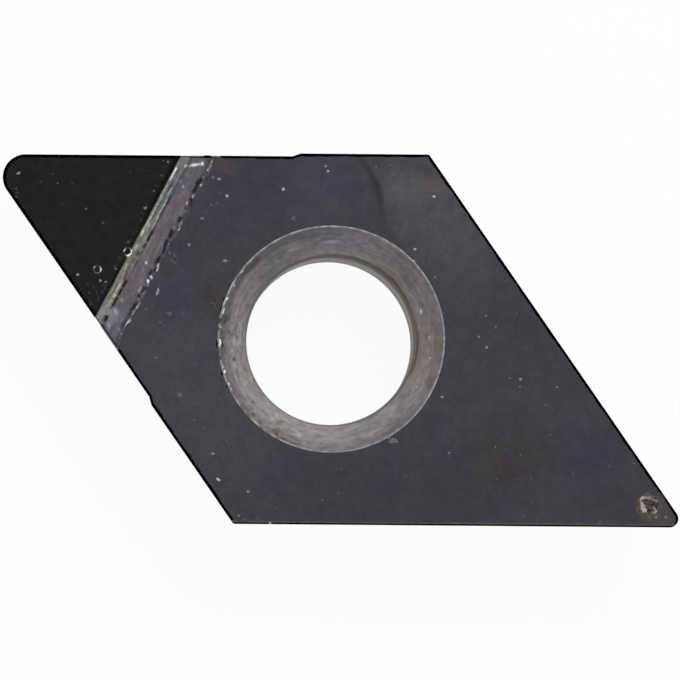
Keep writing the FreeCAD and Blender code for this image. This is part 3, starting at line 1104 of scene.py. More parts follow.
@dataclass(frozen=True)
class BrushedBand:
    """The ground band beside the seam: mauve-grey, rubbed along the seam, with a ragged border."""

    mauve: Colour = (88, 84, 91)
    rosy: Colour = (101, 86, 92)
    blue: Colour = (80, 87, 102)
    frost: Colour = (112, 120, 126)
    moss: Colour = (90, 94, 93)
    top: Colour = (66, 66, 73)
    dark: Colour = (22, 21, 28)
    white: Colour = (222, 219, 224)
    braze: Colour = (124, 119, 100)
    rust: Colour = (132, 90, 64)

    def make(self) -> Material:
        """Mix band, top face, spilt braze, rust, pits and pale rims by the mesh's marks; the pits take
        painted shade and the rims painted highlights.
        """
        sheet = Sheet("brushed_band")
        streak = sheet.noise(1.0, 4.0, sheet.laid(-SIZES.half, (0.06, 0.4, 1.0)))
        colour = sheet.lay(self.mauve, (
            (178, 206, 30, 8, 62, 0.4, self.rosy, 0.75),
            (143, 273, 32, 8, 62, 0.4, self.rosy, 0.75),
            (176, 186, 20, 8, 62, 0.3, self.blue, 0.9),
            (188, 168, 14, 14, 20, 0.2, self.moss, 0.6),
            (119, 322, 26, 12, 62, 0.3, self.blue, 0.6),
            (113, 317, 12, 8, 62, 0.3, self.frost, 0.95),
        ))
        colour = sheet.mix(sheet.step(streak, 0.5, 0.75, 0.35), colour, (120, 116, 123))
        colour = sheet.mix(sheet.mark("spill"), colour, self.braze)
        colour = sheet.mix(sheet.mark("rust"), colour, self.rust)
        colour = sheet.mix(sheet.mark("level"), colour, self.top)
        # The shade mark: dark is partly painted shade, pale partly painted highlight.
        colour = sheet.by_mark("shade", colour, self.white, self.dark)
        colour = sheet.shade(colour, sheet.sway(streak, 0.4), sheet.grain(0.36, 8.0, 4.0))
        sheet.bump(streak, 0.003)
        return sheet.done(colour, 0.45, metallic=0.15, gloss=0.15)


@dataclass(frozen=True)
class CraterMetal:
    """The crater: torn silvery metal, partly painted highlight, round a dark brown pit with painted shade,
    fading into the sooted top.
    """

    silver: Colour = (170, 163, 159)
    earth: Colour = (74, 65, 62)
    soot: Colour = (72, 65, 64)
    pit: Colour = (34, 30, 29)

    def make(self) -> Material:
        """Mix silver and earth by the mesh's marks, with painted highlights on the torn bits and painted
        shade in the pit, and grain them.
        """
        sheet = Sheet("crater_metal")
        colour = sheet.mix(sheet.mark("level"), self.earth, self.soot)
        colour = sheet.by_mark("glint", colour, self.silver, self.pit, 0.1, 0.9)
        colour = sheet.shade(colour, sheet.grain(0.35, 16.0, 4.0))
        sheet.bump(sheet.noise(45.0, 3.0), 0.003)
        return sheet.done(colour, 0.45, metallic=0.1, gloss=0.25)


@dataclass(frozen=True)
class PaleCrumbs:
    """Dust, flecks and bright nicks, the nicks on the rim being painted highlights: from grey to white by the
    mesh's own mark.
    """

    name: str = "pale_crumbs"
    grey: Colour = (66, 67, 75)
    white: Colour = (227, 228, 229)

    def make(self) -> Material:
        """Mix grey and white by each crumb's mark."""
        sheet = Sheet(self.name)
        colour = sheet.mix(sheet.mark("glint"), self.grey, self.white)
        colour = sheet.shade(colour, sheet.grain(0.2, 50.0, 2.0))
        return sheet.done(colour, 0.6, gloss=0.15)


# The insert's sub-assemblies

class Zone(Enum):
    """The parts of the carbide body's skin, each with a finish of its own."""

    SEAT = 0
    GROUND = 1
    PRESSED = 2
    HONE = 3
    TOP = 4
    RIM = 5
    CONE = 6
    BORE = 7


ZONE_FINISHES = {
    Zone.SEAT: LappedSeat(),
    Zone.GROUND: RelievedFlank("ground_flank", (118, 117, 121), 0.22),
    Zone.PRESSED: RelievedFlank(),
    Zone.HONE: Hone(),
    Zone.TOP: HeatTint(),
    Zone.RIM: RimHighlight(),
    Zone.CONE: Countersink(),
    Zone.BORE: BoreWall(),
}


@dataclass
class CarbideBody:
    """The carbide body: one closed skin from the underside over the top into the hole.

    Columns run round the outline, and each one's ray leads to the hole at its own direction.
    Rows run from the bore's lower mouth out under the body, up the flanks, over the seat's
    floor and wall, across the top face and down the countersink and the bore.
    """

    sizes: InsertSizes = SIZES
    spacing: float = 0.042
    foot_break: float = 0.03
    rim_rounding: float = 0.036
    edge_wear: float = 0.003
    crater_reach: float = 0.2
    crater_room: float = 0.1
    low_rows: int = 8
    seat_rows: int = 7
    zones: list[Zone] = field(default_factory=list)
    rows: list[Array] = field(default_factory=list)
    directions: Array = field(init=False)

    def __post_init__(self) -> None:
        """Work out each column's direction from the hole's axis."""
        top = self.outline().loops(np.zeros(1), np.zeros(1))[0]
        self.directions = top / np.linalg.norm(top, axis=1)[:, None]

    def outline(self) -> Outline:
        """Return the outline, with exact corners where the seat's wall and the band's recess end."""
        at = LINES
        corners = (
            Corner(at.top_ground, at.left_ground, self.sizes.nose_radius, True, 30),
            Corner(at.left_ground, at.seat_wall, onward=at.left_ground),
            Corner(at.left_ground, at.pocket_end, onward=at.left_ground),
            Corner(at.left_ground, at.left_ramp),
            Corner(at.left_ramp, at.left_free),
            Corner(at.left_free, at.bottom, self.sizes.obtuse_radius, steps=7),
            Corner(at.bottom, at.right, self.sizes.far_radius, steps=22),
            Corner(at.right, at.top_free, self.sizes.obtuse_radius, steps=7),
            Corner(at.top_free, at.top_ramp),
            Corner(at.top_ramp, at.top_ground),
            Corner(at.top_ground, at.pocket_end, onward=at.top_ground),
            Corner(at.top_ground, at.seat_wall, onward=at.top_ground),
        )
        return Outline(corners, self.spacing)

    def ring(self, radius: float, height: float) -> Array:
        """Return a circle round the hole's axis, one point for each column's direction."""
        plan = self.directions * radius
        return np.concatenate([plan, np.full((len(plan), 1), height)], axis=1)

    def stop_at(self, plan: Array, u: float) -> Array:
        """Move the points on the nose's side of a plane along their rays to that plane.

        A ray runs from a point to the countersink's rim. The share of it that is used is the
        distance to the plane over the rim's distance beyond the point, both along u.
        """
        rim = self.directions * self.sizes.countersink / 2.0
        here, _ = self.sizes.to_diagonal(plan)
        there, _ = self.sizes.to_diagonal(rim)
        share = np.where(here < u, (u - here) / (there - here), 0.0)[:, None]
        return plan + share * (rim - plan)

    def add(self, zone: Zone, plan: Array, height: float | Array) -> None:
        """Add a row, and name the zone of the faces between it and the row before."""
        heights = np.broadcast_to(height, len(plan))[:, None]
        self.zones.append(zone)
        self.rows.append(np.concatenate([plan, heights], axis=1))

    def add_circle(self, zone: Zone, radius: float, height: float) -> None:
        """Add a row that is a circle round the hole's axis."""
        self.zones.append(zone)
        self.rows.append(self.ring(radius, height))

    def add_underside_and_flanks(self, outline: Outline) -> None:
        """Go out along the underside, up the flanks, and over the seat's floor and wall."""
        sizes = self.sizes
        heights = np.concatenate([
            [0.0, self.foot_break],
            np.linspace(self.foot_break, sizes.seat_floor, self.low_rows)[1:],
            np.linspace(sizes.seat_floor + 0.004, sizes.ground_top - 0.04, self.seat_rows),
        ])
        hone = np.where(heights < self.foot_break / 2.0, self.foot_break, 0.0)
        loops = outline.loops(sizes.lean(heights), hone)
        inner = self.directions * (sizes.bore / 2.0 + self.foot_break)
        for share in np.linspace(0.0, 1.0, 7):
            self.add(Zone.SEAT, inner * (1.0 - share) + loops[0] * share, 0.0)
        first = self.low_rows + 1
        for height, loop in zip(heights[1:first], loops[1:first]):
            self.add(Zone.PRESSED, loop, height)
        for height, loop in zip(heights[first:], loops[first:]):
            on_seat = sizes.to_diagonal(loop)[0] < sizes.seat_wall
            level = np.where(on_seat & (height < sizes.seat_floor + 0.01), sizes.seat_floor, height)
            self.add(Zone.PRESSED, self.stop_at(loop, sizes.seat_wall), level)

    def add_edge_and_top(self, outline: Outline) -> None:
        """Turn in over the hone, and cross the top face to the countersink's rim."""
        sizes = self.sizes
        foot = sizes.thickness - sizes.hone_drop
        lean = np.array([sizes.lean(foot), 0.0])
        low, high = outline.loops(lean, np.array([0.0, sizes.hone_width]))
        worn = self.edge_wear * Waves(5, (0.5, 0.5))(high[:, 0], high[:, 1])
        worn += self.edge_wear * Waves(6, (0.12, 0.12))(high[:, 0], high[:, 1])
        high = high + worn[:, None] * outline.normals()
        self.add(Zone.PRESSED, self.stop_at(low, sizes.pocket_end), foot)
        start = self.stop_at(high, sizes.pocket_end)
        self.add(Zone.HONE, start, sizes.thickness)
        rim = self.directions * (sizes.countersink / 2.0 + self.rim_rounding * math.tan(math.radians(30.0)))
        shares = np.concatenate([np.linspace(0.0, 0.2, 24)[1:], np.linspace(0.2, 1.0, 16)[1:]])
        crater = PHOTO.to_part([PHOTO.crater])[0]
        for share in shares:
            plan = start * (1.0 - share) + rim * share
            away = np.linalg.norm(plan - crater, axis=1)
            room = np.where(away < self.crater_reach, self.crater_room, 0.0)
            self.add(Zone.TOP, plan, sizes.thickness - room)

    def add_hole(self) -> None:
        """Round the rim, go down the cone, round its foot, and go down the bore.

        The rim is a small circle between the top and the cone, and the foot a larger one
        between the cone and the bore.
        """
        sizes = self.sizes
        bore, rim = sizes.bore / 2.0, sizes.countersink / 2.0
        slope = math.radians(90.0 - sizes.countersink_angle / 2.0)
        start = rim + self.rim_rounding * math.tan(slope / 2.0)
        for turn in np.linspace(0.0, slope, 5)[1:]:
            drop = self.rim_rounding * (1.0 - math.cos(turn))
            self.add_circle(Zone.RIM, start - self.rim_rounding * math.sin(turn), sizes.thickness - drop)
        lean = math.pi / 2.0 - slope
        cone_foot = sizes.thickness - (rim - bore) * math.tan(slope)
        wall_top = cone_foot - sizes.bore_blend * math.tan(lean / 2.0)
        foot_radius = bore + sizes.bore_blend * (1.0 - math.cos(lean))
        foot_height = wall_top + sizes.bore_blend * math.sin(lean)
        last = self.rows[-1]
        last_radius, last_height = math.hypot(last[0, 0], last[0, 1]), last[0, 2]
        for share in np.linspace(0.0, 1.0, 15)[1:]:
            radius = last_radius + (foot_radius - last_radius) * share
            self.add_circle(Zone.CONE, radius, last_height + (foot_height - last_height) * share)
        for turn in np.linspace(lean, 0.0, 9)[1:]:
            radius = bore + sizes.bore_blend * (1.0 - math.cos(turn))
            self.add_circle(Zone.CONE, radius, wall_top + sizes.bore_blend * math.sin(turn))
        for height in np.linspace(wall_top, self.foot_break, 7)[1:]:
            self.add_circle(Zone.BORE, bore, height)

    def face_zones(self, outline: Outline) -> Array:
        """Return each face's material number; the flanks beside the nose are ground."""
        columns = self.rows[0].shape[0]
        order = self.zones[1:] + [Zone.BORE]
        zones = np.repeat(np.array([zone.value for zone in order])[:, None], columns, axis=1)
        ground = np.zeros(columns, dtype=bool)
        ground[:outline.columns_before(4)] = True
        ground[outline.columns_before(8):] = True
        zones[(zones == Zone.PRESSED.value) & ground[None]] = Zone.GROUND.value
        return zones

    def build(self) -> Piece:
        """Make the skin and dress each zone."""
        outline = self.outline()
        self.add_underside_and_flanks(outline)
        self.add_edge_and_top(outline)
        self.add_hole()
        skin = Skin("carbide_body", np.stack(self.rows), True, self.face_zones(outline))
        piece = skin.make([ZONE_FINISHES[zone].make() for zone in Zone])
        return settle(piece, "insert_body")


@dataclass
class DiamondTable:
    """The diamond layer: a rounded wedge with relieved flanks, an upright back and honed edges."""

    sizes: InsertSizes = SIZES
    spacing: float = 0.02
    edge_wear: float = 0.002
    middle: float = -4.7

    def outline(self) -> Outline:
        """Return the outline: the rounded nose and two sharp corners at the back."""
        at = LINES
        corners = (
            Corner(at.top_ground, at.left_ground, self.sizes.nose_radius, True, 48),
            Corner(at.left_ground, at.tip_back),
            Corner(at.tip_back, at.top_ground),
        )
        return Outline(corners, self.spacing)

    def build(self, finish: Material, hone: Material) -> Piece:
        """Make the skin from the underside's middle, up the flanks, to the top's middle.

        Args:
            finish: The polished black.
            hone: The finish of the honed edges: black painted shade.
        """
        sizes = self.sizes
        outline = self.outline()
        foot = sizes.ground_top - sizes.hone_drop
        heights = np.concatenate([np.linspace(sizes.diamond_floor, foot, 5), [sizes.ground_top]])
        hone_in = np.where(heights > foot, sizes.hone_width, 0.0)
        loops = outline.loops(sizes.lean(np.minimum(heights, foot)), hone_in)
        edge = loops[-1]
        worn = Waves(8, (0.3, 0.3))(edge[:, 0], edge[:, 1]) + Waves(9, (0.08, 0.08))(edge[:, 0], edge[:, 1])
        loops[-1] += (self.edge_wear * worn)[:, None] * outline.normals()
        middle = sizes.to_part(np.array(self.middle), np.array(0.0))
        inward = np.linspace(0.0, 1.0, 10)[1:, None, None]
        top = loops[-1][None] * (1.0 - inward) + middle * inward
        plan = np.concatenate([np.broadcast_to(middle, loops[:1].shape), loops, top])
        levels = np.concatenate([[sizes.diamond_floor], heights, np.full(len(top), sizes.ground_top)])
        points = np.concatenate([plan, np.broadcast_to(levels[:, None, None], (*plan.shape[:2], 1))], axis=2)
        zones = np.zeros((len(points) - 1, points.shape[1]), dtype=int)
        zones[len(heights) - 1] = 1
        piece = Skin("diamond_table", points, zones=zones).make([finish, hone])
        return settle(piece, "diamond_layer")


@dataclass
class BrazeFilm:
    """The thin braze film between the seat's floor and the tip's backing."""

    sizes: InsertSizes = SIZES
    spacing: float = 0.05

    def build(self, finish: Material) -> Piece:
        """Make a flat wedge from the middle of its underside to the middle of its top."""
        sizes, at = self.sizes, LINES
        corners = (
            Corner(at.top_ground, at.left_ground, sizes.nose_radius, True, 30),
            Corner(at.left_ground, at.seat_wall),
            Corner(at.seat_wall, at.top_ground),
        )
        heights = np.array([sizes.seat_floor, sizes.film_top])
        loops = Outline(corners, self.spacing).loops(sizes.lean(heights), np.zeros(2))
        middle = np.broadcast_to(loops.mean(axis=(0, 1)), loops[:1].shape)
        plan = np.concatenate([middle, loops, middle])
        levels = np.broadcast_to(np.repeat(heights, 2)[:, None, None], (*plan.shape[:2], 1))
        skin = Skin("braze_film", np.concatenate([plan, levels], axis=2))
        skin.marks["shade"] = np.zeros(plan.shape[:2])
        return settle(skin.make([finish]), "braze_seam")


@dataclass
class SeamStrip:
    """A bar along the seam: a closed section in u and height, carried across the insert.

    A point of the section goes to v = s times the side's v at that u and height, with s from
    -1 to 1, so both ends follow the relieved ground flanks. The top's height and the marks
    are functions of the distance q behind the diamond's back edge and of v.
    """

    sizes: InsertSizes = SIZES
    start: float = 0.0
    width: float = 0.1
    floor: float = 0.0
    end_gap: float = 0.0
    across: int = 60
    stations: int = 440
    walls: int = 3

    def side(self, u: Array, height: Array) -> Array:
        """Return v on the ground flank: the offset, less the lean, plus u sin, over cos."""
        reach = self.sizes.ground - self.sizes.lean(height) - self.end_gap
        return (reach + u * math.sin(self.sizes.half)) / math.cos(self.sizes.half)

    def height(self, q: Array, v: Array) -> Array:
        """Return the top surface's height."""
        return np.full_like(q, self.sizes.ground_top)

    def marks(self, q: Array, v: Array) -> dict[str, Array]:
        """Return the marks that the finish reads."""
        return {}

    def zones(self, q: Array, v: Array) -> Array:
        """Return each point's material number."""
        return np.zeros(q.shape, dtype=int)

    def end_line(self, q: Array, v: Array) -> Array:
        """Return 1 in the narrow line of painted shade at both ends, where the strip meets the flanks."""
        reach = self.side(self.sizes.tip_back + q, np.full_like(q, self.sizes.ground_top))
        return smooth_step(np.abs(v), reach - 0.032, reach - 0.014)

    def skin(self, name: str) -> Skin:
        """Return the strip's skin: its section's points as columns, its stations as rows."""
        q_top = np.linspace(0.0, self.width, self.across)
        rise = np.linspace(0.0, 1.0, self.walls + 1)[:-1]
        q = np.concatenate([np.zeros(self.walls), q_top, np.full(self.walls, self.width)])
        share = np.concatenate([rise, np.ones(self.across), rise[::-1]])
        along = np.linspace(-1.0, 1.0, self.stations)[:, None]
        u = self.start + q[None] + 0.0 * along
        rough_v = along * self.side(u, np.full_like(u, self.sizes.ground_top))
        behind = u - self.sizes.tip_back
        z = self.floor + (self.height(behind, rough_v) - self.floor) * share
        v = along * self.side(u, np.minimum(z, self.sizes.ground_top))
        points = np.concatenate([self.sizes.to_part(u, v), z[..., None]], axis=2)
        caps = [np.broadcast_to(points[row].mean(axis=0), points[:1].shape) for row in (0, -1)]
        marks = {
            label: np.concatenate([values[:1], values, values[-1:]])
            for label, values in self.marks(behind, v).items()
        }
        zones = self.zones(behind, v)
        zones = np.concatenate([zones[:1], zones])
        return Skin(name, np.concatenate([caps[0], points, caps[1]]), zones=zones, marks=marks, sharp=50.0)


# Read in the photograph along the seam: each row is a soft stroke, from one pixel place
# to another, with its half width in pixels and its strength, dark below 0 and pale above
# The dark strokes are partly dark braze and partly painted shade in the pits they dent; the pale ones are
# partly pale braze and partly painted highlights on the bits they raise.
DARK_STROKES = (
    (198, 178.5, 196, 181, 1.7, -1), (195.5, 182, 192, 190.5, 1.6, -0.9),
    (189.8, 198.5, 189, 205, 1.6, -0.85), (188.5, 207, 190, 211, 1.1, -0.45),
    (178.5, 216.5, 177.5, 219.5, 1.6, -0.85), (176, 221, 174.5, 224, 1.1, -0.45),
    (170.5, 230, 168.5, 236, 1.7, -0.95), (166, 240, 163.5, 248, 1.5, -0.85),
    (163, 251, 161.5, 253, 1.3, -0.5), (158.5, 257, 156, 262, 1.5, -0.85),
    (155, 264, 154.5, 270, 1.2, -0.6), (150.5, 270, 147, 276, 1.4, -0.75),
    (146.5, 286, 143, 291, 1.4, -0.75), (139, 295, 137, 299, 1.3, -0.65),
    (136.5, 302, 133, 308, 1.5, -0.75), (131, 310, 129, 316, 1.3, -0.55), (126, 318, 123.5, 325, 1.2, -0.4),
    (206, 161, 199, 176, 1.4, -0.3), (150.5, 231.5, 149.5, 234, 1.4, -0.8),
    (147.8, 237, 146.8, 239.5, 1.4, -0.8), (143.5, 244, 142.5, 246.5, 1.3, -0.55),
    (137.5, 252.5, 136.5, 255, 1.5, -0.75), (133, 259, 131.5, 262, 1.5, -0.65),
    (129.5, 265, 128, 268, 1.2, -0.5), (126.5, 272, 124, 279, 1.2, -0.6),
    (125, 281.5, 122.5, 286, 1.4, -0.7), (120.5, 290, 118.5, 294.5, 1.3, -0.75),
    (116.5, 298, 113.5, 304.5, 1.4, -0.7), (112, 307, 111, 309, 1.3, -0.55),
    (106.5, 317, 105.5, 320, 1.8, -1), (168, 196, 164.5, 203, 1.2, -0.4),
    (162.5, 207, 158.5, 215, 1.2, -0.35), (183, 218, 181, 226, 1, -0.3), (174, 240, 171, 247, 1, -0.3),
    (177.5, 166, 174.5, 172, 1.2, -0.15), (171.5, 180, 166, 190, 1.1, -0.4), (164, 193, 156, 209, 1, -0.45),
    (154, 212, 149, 222, 1, -0.4),
)
PALE_STROKES = (
    (183.6, 165, 192, 163.6, 1.5, 0.72), (192, 163.4, 200.2, 162.2, 1.5, 0.78),
    (184, 163.6, 183.3, 166, 1.1, 0.3), (200, 160.6, 200.8, 163.2, 1.1, 0.4),
    (209.6, 160.5, 205.5, 168, 1, 0.55), (205, 169, 201.5, 175.5, 1, 0.5),
    (199.6, 181, 198.5, 184, 1.1, 0.6), (191.6, 194, 190.5, 197, 1, 0.5),
    (185.8, 201, 185.4, 203, 1.2, 0.55), (190, 209, 188.5, 213, 0.9, 0.4),
    (179.6, 221, 178.3, 225, 1.3, 0.6), (179, 228.5, 178.3, 230, 1.5, 0.65),
    (178.3, 179, 178.3, 180, 1.5, 0.55), (181.2, 184.5, 181.2, 186, 1.2, 0.45),
    (172.3, 233, 170.8, 238, 0.9, 0.35), (167.3, 243, 165.7, 246, 0.9, 0.4),
    (157.5, 263.5, 156.2, 270, 1.3, 0.8), (145.5, 262, 145.8, 263, 1.2, 0.55),
    (133.5, 266, 133, 268, 1.4, 0.55), (147.2, 280, 147.8, 281, 1.5, 0.95),
    (151, 276.5, 151, 277, 1.3, 0.7), (152, 280, 151.5, 282, 1.1, 0.7), (147, 285, 147.2, 286, 1.5, 0.85),
    (141, 287, 138.5, 291, 1.1, 0.55), (145, 289.5, 142, 296, 1, 0.5),
    (138, 298.5, 137.6, 300.5, 1.4, 0.85), (139, 303, 135.5, 312, 1.3, 0.55),
    (134, 313, 127, 328, 1.4, 0.5), (122, 299, 121.8, 300.5, 1.2, 0.35), (115, 294.5, 114, 297, 1.3, 0.6),
    (174.2, 167.5, 168, 178.5, 1.1, 1), (176.5, 161, 173, 169, 1, 0.45), (167.5, 180, 160, 195, 1.2, 0.4),
    (159.5, 196, 150, 215, 1.3, 0.5), (149, 217, 142, 231, 1.5, 0.55), (141.5, 232, 140.5, 234.5, 1.4, 0.4),
    (169.2, 187.5, 165, 195.5, 1, 0.5), (165.5, 199, 159, 212, 1, 0.7), (158, 214, 152, 226, 1, 0.6),
    (151, 228, 147.5, 234, 1, 0.35), (136.5, 245, 133.5, 250, 1.4, 0.45),
    (126.5, 264, 124.5, 268, 1.5, 0.6), (120, 285, 116.5, 291, 1.2, 0.5), (111, 300, 107, 308, 1.2, 0.4),
    (118.5, 259, 112, 272, 1.2, 0.2), (108, 315, 112, 308.5, 1.6, 0.5), (147, 275.5, 150.5, 276, 1.2, 0.55),
    (137.2, 255.5, 136.6, 258, 1.4, 0.4), (114.5, 309.5, 117, 313.5, 2.2, 0.42),
    (107.2, 322.5, 109.5, 327.5, 1.9, 0.4), (126.6, 331, 128.4, 321.5, 1.6, 0.45),
    (119.5, 329, 121.5, 333, 1.5, 0.3),
)
RUST_STROKES = (
    (122, 294, 119, 302, 1.8, 0.55), (123.5, 299, 122.5, 303, 1.5, 0.35), (122, 284, 120.5, 289, 1.3, 0.35),
    (172.5, 196, 170.5, 200, 1.6, 0.1),
)
SPILL_STROKES = (
    (130, 271, 124, 283, 1.4, 0.7), (122, 289, 116, 301, 1.2, 0.5), (114, 305, 109, 315, 2.2, 0.6),
    (146, 243, 138, 259, 1.2, 0.35),
)


def seam_strokes(q: Array, v: Array, rows: Sequence[Sequence[float]]) -> Array:
    """Return the sum of soft strokes at distances behind the diamond and across the insert."""
    return strokes(np.stack([q, v], axis=-1), rows, PHOTO.to_seam)


def softened(rows: Sequence[Sequence[float]], wider: float, weaker: float) -> Array:
    """Widen strokes, and weaken those of more than four pixels' length, each by a factor."""
    table = np.array(rows)
    length = np.hypot(table[:, 2] - table[:, 0], table[:, 3] - table[:, 1])
    table[:, 4] *= wider
    table[:, 5] *= np.where(length > 4.0, weaker, 1.0)
    return table


DARK_MARKS = softened(DARK_STROKES, 1.2, 1.0)
PALE_MARKS = softened(PALE_STROKES, 1.05, 0.75)


@dataclass
class BrazeFill(SeamStrip):
    """The pale fill between the tip's back and the seat's wall, with a rippled ground top."""

    start: float = SIZES.tip_back
    width: float = SIZES.seam_width
    floor: float = SIZES.film_top
    across: int = 36
    stations: int = 620
    walls: int = 5
    end_gap: float = 0.012
    sunk: float = 0.004
    dent_depth: float = 0.01
    ridge_height: float = 0.004

    def grains(self, q: Array, v: Array) -> Array:
        """Return a rough grain, finer across the seam than along it."""
        return 0.75 * Waves(24, (0.035, 0.3))(q, v) + 0.35 * Waves(26, (0.035, 0.06))(q, v)

    def height(self, q: Array, v: Array) -> Array:
        """Return ripples along the seam of a few micrometres, a little below the tip's top."""
        ripple = 0.0008 * Waves(21, (0.04, 0.6))(q, v) + 0.0006 * self.grains(q, v)
        dents = self.dent_depth * np.minimum(-seam_strokes(q, v, DARK_MARKS), 1.0)
        ridges = self.ridge_height * seam_strokes(q, v, PALE_MARKS)
        return self.sizes.ground_top - self.sunk + ripple - dents + ridges

    def marks(self, q: Array, v: Array) -> dict[str, Array]:
        """Return the dark and pale places: read strokes, a dark groove near the top, painted shade by the
        diamond's back edge and at both ends, grain.
        """
        groove = smooth_step(v, 0.15, 0.5) * np.exp(-((q - 0.085) / 0.03) ** 2)
        # Painted shade: along the diamond's back edge and at both ends.
        groove = 0.2 * groove + 0.65 * np.exp(-(q / 0.016) ** 2) + 1.5 * self.end_line(q, v)
        shade = seam_strokes(q, v, DARK_MARKS) + seam_strokes(q, v, PALE_MARKS)
        return {"shade": np.clip(shade - groove + 0.14 * self.grains(q, v), -1.0, 1.0)}

    def build(self, finish: Material) -> Piece:
        """Make the fill."""
        return settle(self.skin("braze_fill").make([finish]), "braze_seam")


@dataclass
class GroundBand(SeamStrip):
    """The narrow ground band behind the seam, with its ragged and pitted border to the top."""

    start: float = SIZES.seat_wall
    width: float = SIZES.band_width + SIZES.pocket_margin + 0.012
    floor: float = SIZES.ground_top - 0.02
    across: int = 70
    stations: int = 560
    end_gap: float = 0.025
    lift: float = 0.0004
    pit_depth: float = 0.017
    crumb_height: float = 0.004

    def border(self, v: Array) -> Array:
        """Return the border's q, which wanders along the seam."""
        flat = np.zeros_like(v)
        wander = 0.016 * Waves(31, (1.0, 0.9))(flat, v) + 0.011 * Waves(32, (1.0, 0.14))(flat, v)
        return self.sizes.seam_width + self.sizes.band_width + 0.02 + wander

    def height(self, q: Array, v: Array) -> Array:
        """Return grooves along the seam, a step up at the border, and the pits in it."""
        border = self.border(v)
        step = smooth_step(q, border - 0.035, border + 0.02)
        fine = 0.0008 * Waves(33, (0.045, 1.2))(q, v) + 0.0005 * Waves(38, (0.04, 0.1))(q, v)
        groove = (1.0 - step) * fine
        pits = self.pit_depth * np.minimum(-seam_strokes(q, v, DARK_MARKS), 1.0)
        beyond = step * (1.0 - smooth_step(q, border + 0.02, border + 0.06))
        crumbs = self.crumb_height * np.maximum(Waves(34, (0.05, 0.07))(q, v), 0.0) * beyond
        bits = self.crumb_height * np.minimum(seam_strokes(q, v, PALE_MARKS), 1.0)
        level = self.sizes.thickness + self.lift - self.sizes.band_depth * (1.0 - step)
        return level + groove + crumbs + bits - pits

    def marks(self, q: Array, v: Array) -> dict[str, Array]:
        """Return where the top face, spilt braze, rust, pits and pale flecks lie, with painted shade and
        painted highlights along the border, and painted shade in a line by the braze and at both ends.
        """
        border = self.border(v)
        rough = 0.8 * Waves(36, (0.05, 0.12))(q, v) + 0.5 * Waves(39, (0.03, 0.05))(q, v)
        near = np.exp(-((q - border) / 0.03) ** 2)
        lines = smooth_step(Waves(37, (0.02, 0.3))(q, v), 0.8, 2.0)
        shade = seam_strokes(q, v, DARK_MARKS) + seam_strokes(q, v, PALE_MARKS)
        # Painted highlights and painted shade along the border's step.
        shade += near * (0.3 * smooth_step(rough, 0.6, 1.8) - 0.2 - 0.3 * smooth_step(-rough, 0.2, 1.4))
        shade += 0.2 * np.exp(-((q - border - 0.05) / 0.022) ** 2) * smooth_step(rough, -0.5, 1.0)
        # Painted shade in a line by the braze, and at both ends.
        shade -= 0.42 * np.exp(-((q - 0.185) / 0.03) ** 2) + 1.5 * self.end_line(q, v)
        inside = 1.0 - smooth_step(q, border - 0.02, border + 0.03)
        edge = self.sizes.seam_width + 0.012 + 0.01 * Waves(35, (1.0, 0.2))(0.0 * q, v)
        spill = 1.0 - smooth_step(q, edge - 0.012, edge + 0.012)
        return {
            "spill": np.clip(spill * smooth_step(v, 0.6, -0.2) + seam_strokes(q, v, SPILL_STROKES), 0.0, 1.0),
            "level": 1.0 - inside,
            "rust": np.clip(seam_strokes(q, v, RUST_STROKES), 0.0, 1.0),
            "shade": np.clip(shade + inside * (0.05 * rough + 0.1 * lines), -1.0, 1.0),
        }

    def zones(self, q: Array, v: Array) -> Array:
        """Return 1 beyond the border, where the top face's own finish takes over."""
        return (q > self.border(v) + 0.055).astype(int)

    def build(self, finish: Material, top: Material) -> Piece:
        """Make the band, with the top face's finish beyond its border."""
        return settle(self.skin("ground_band").make([finish, top]), "insert_body")


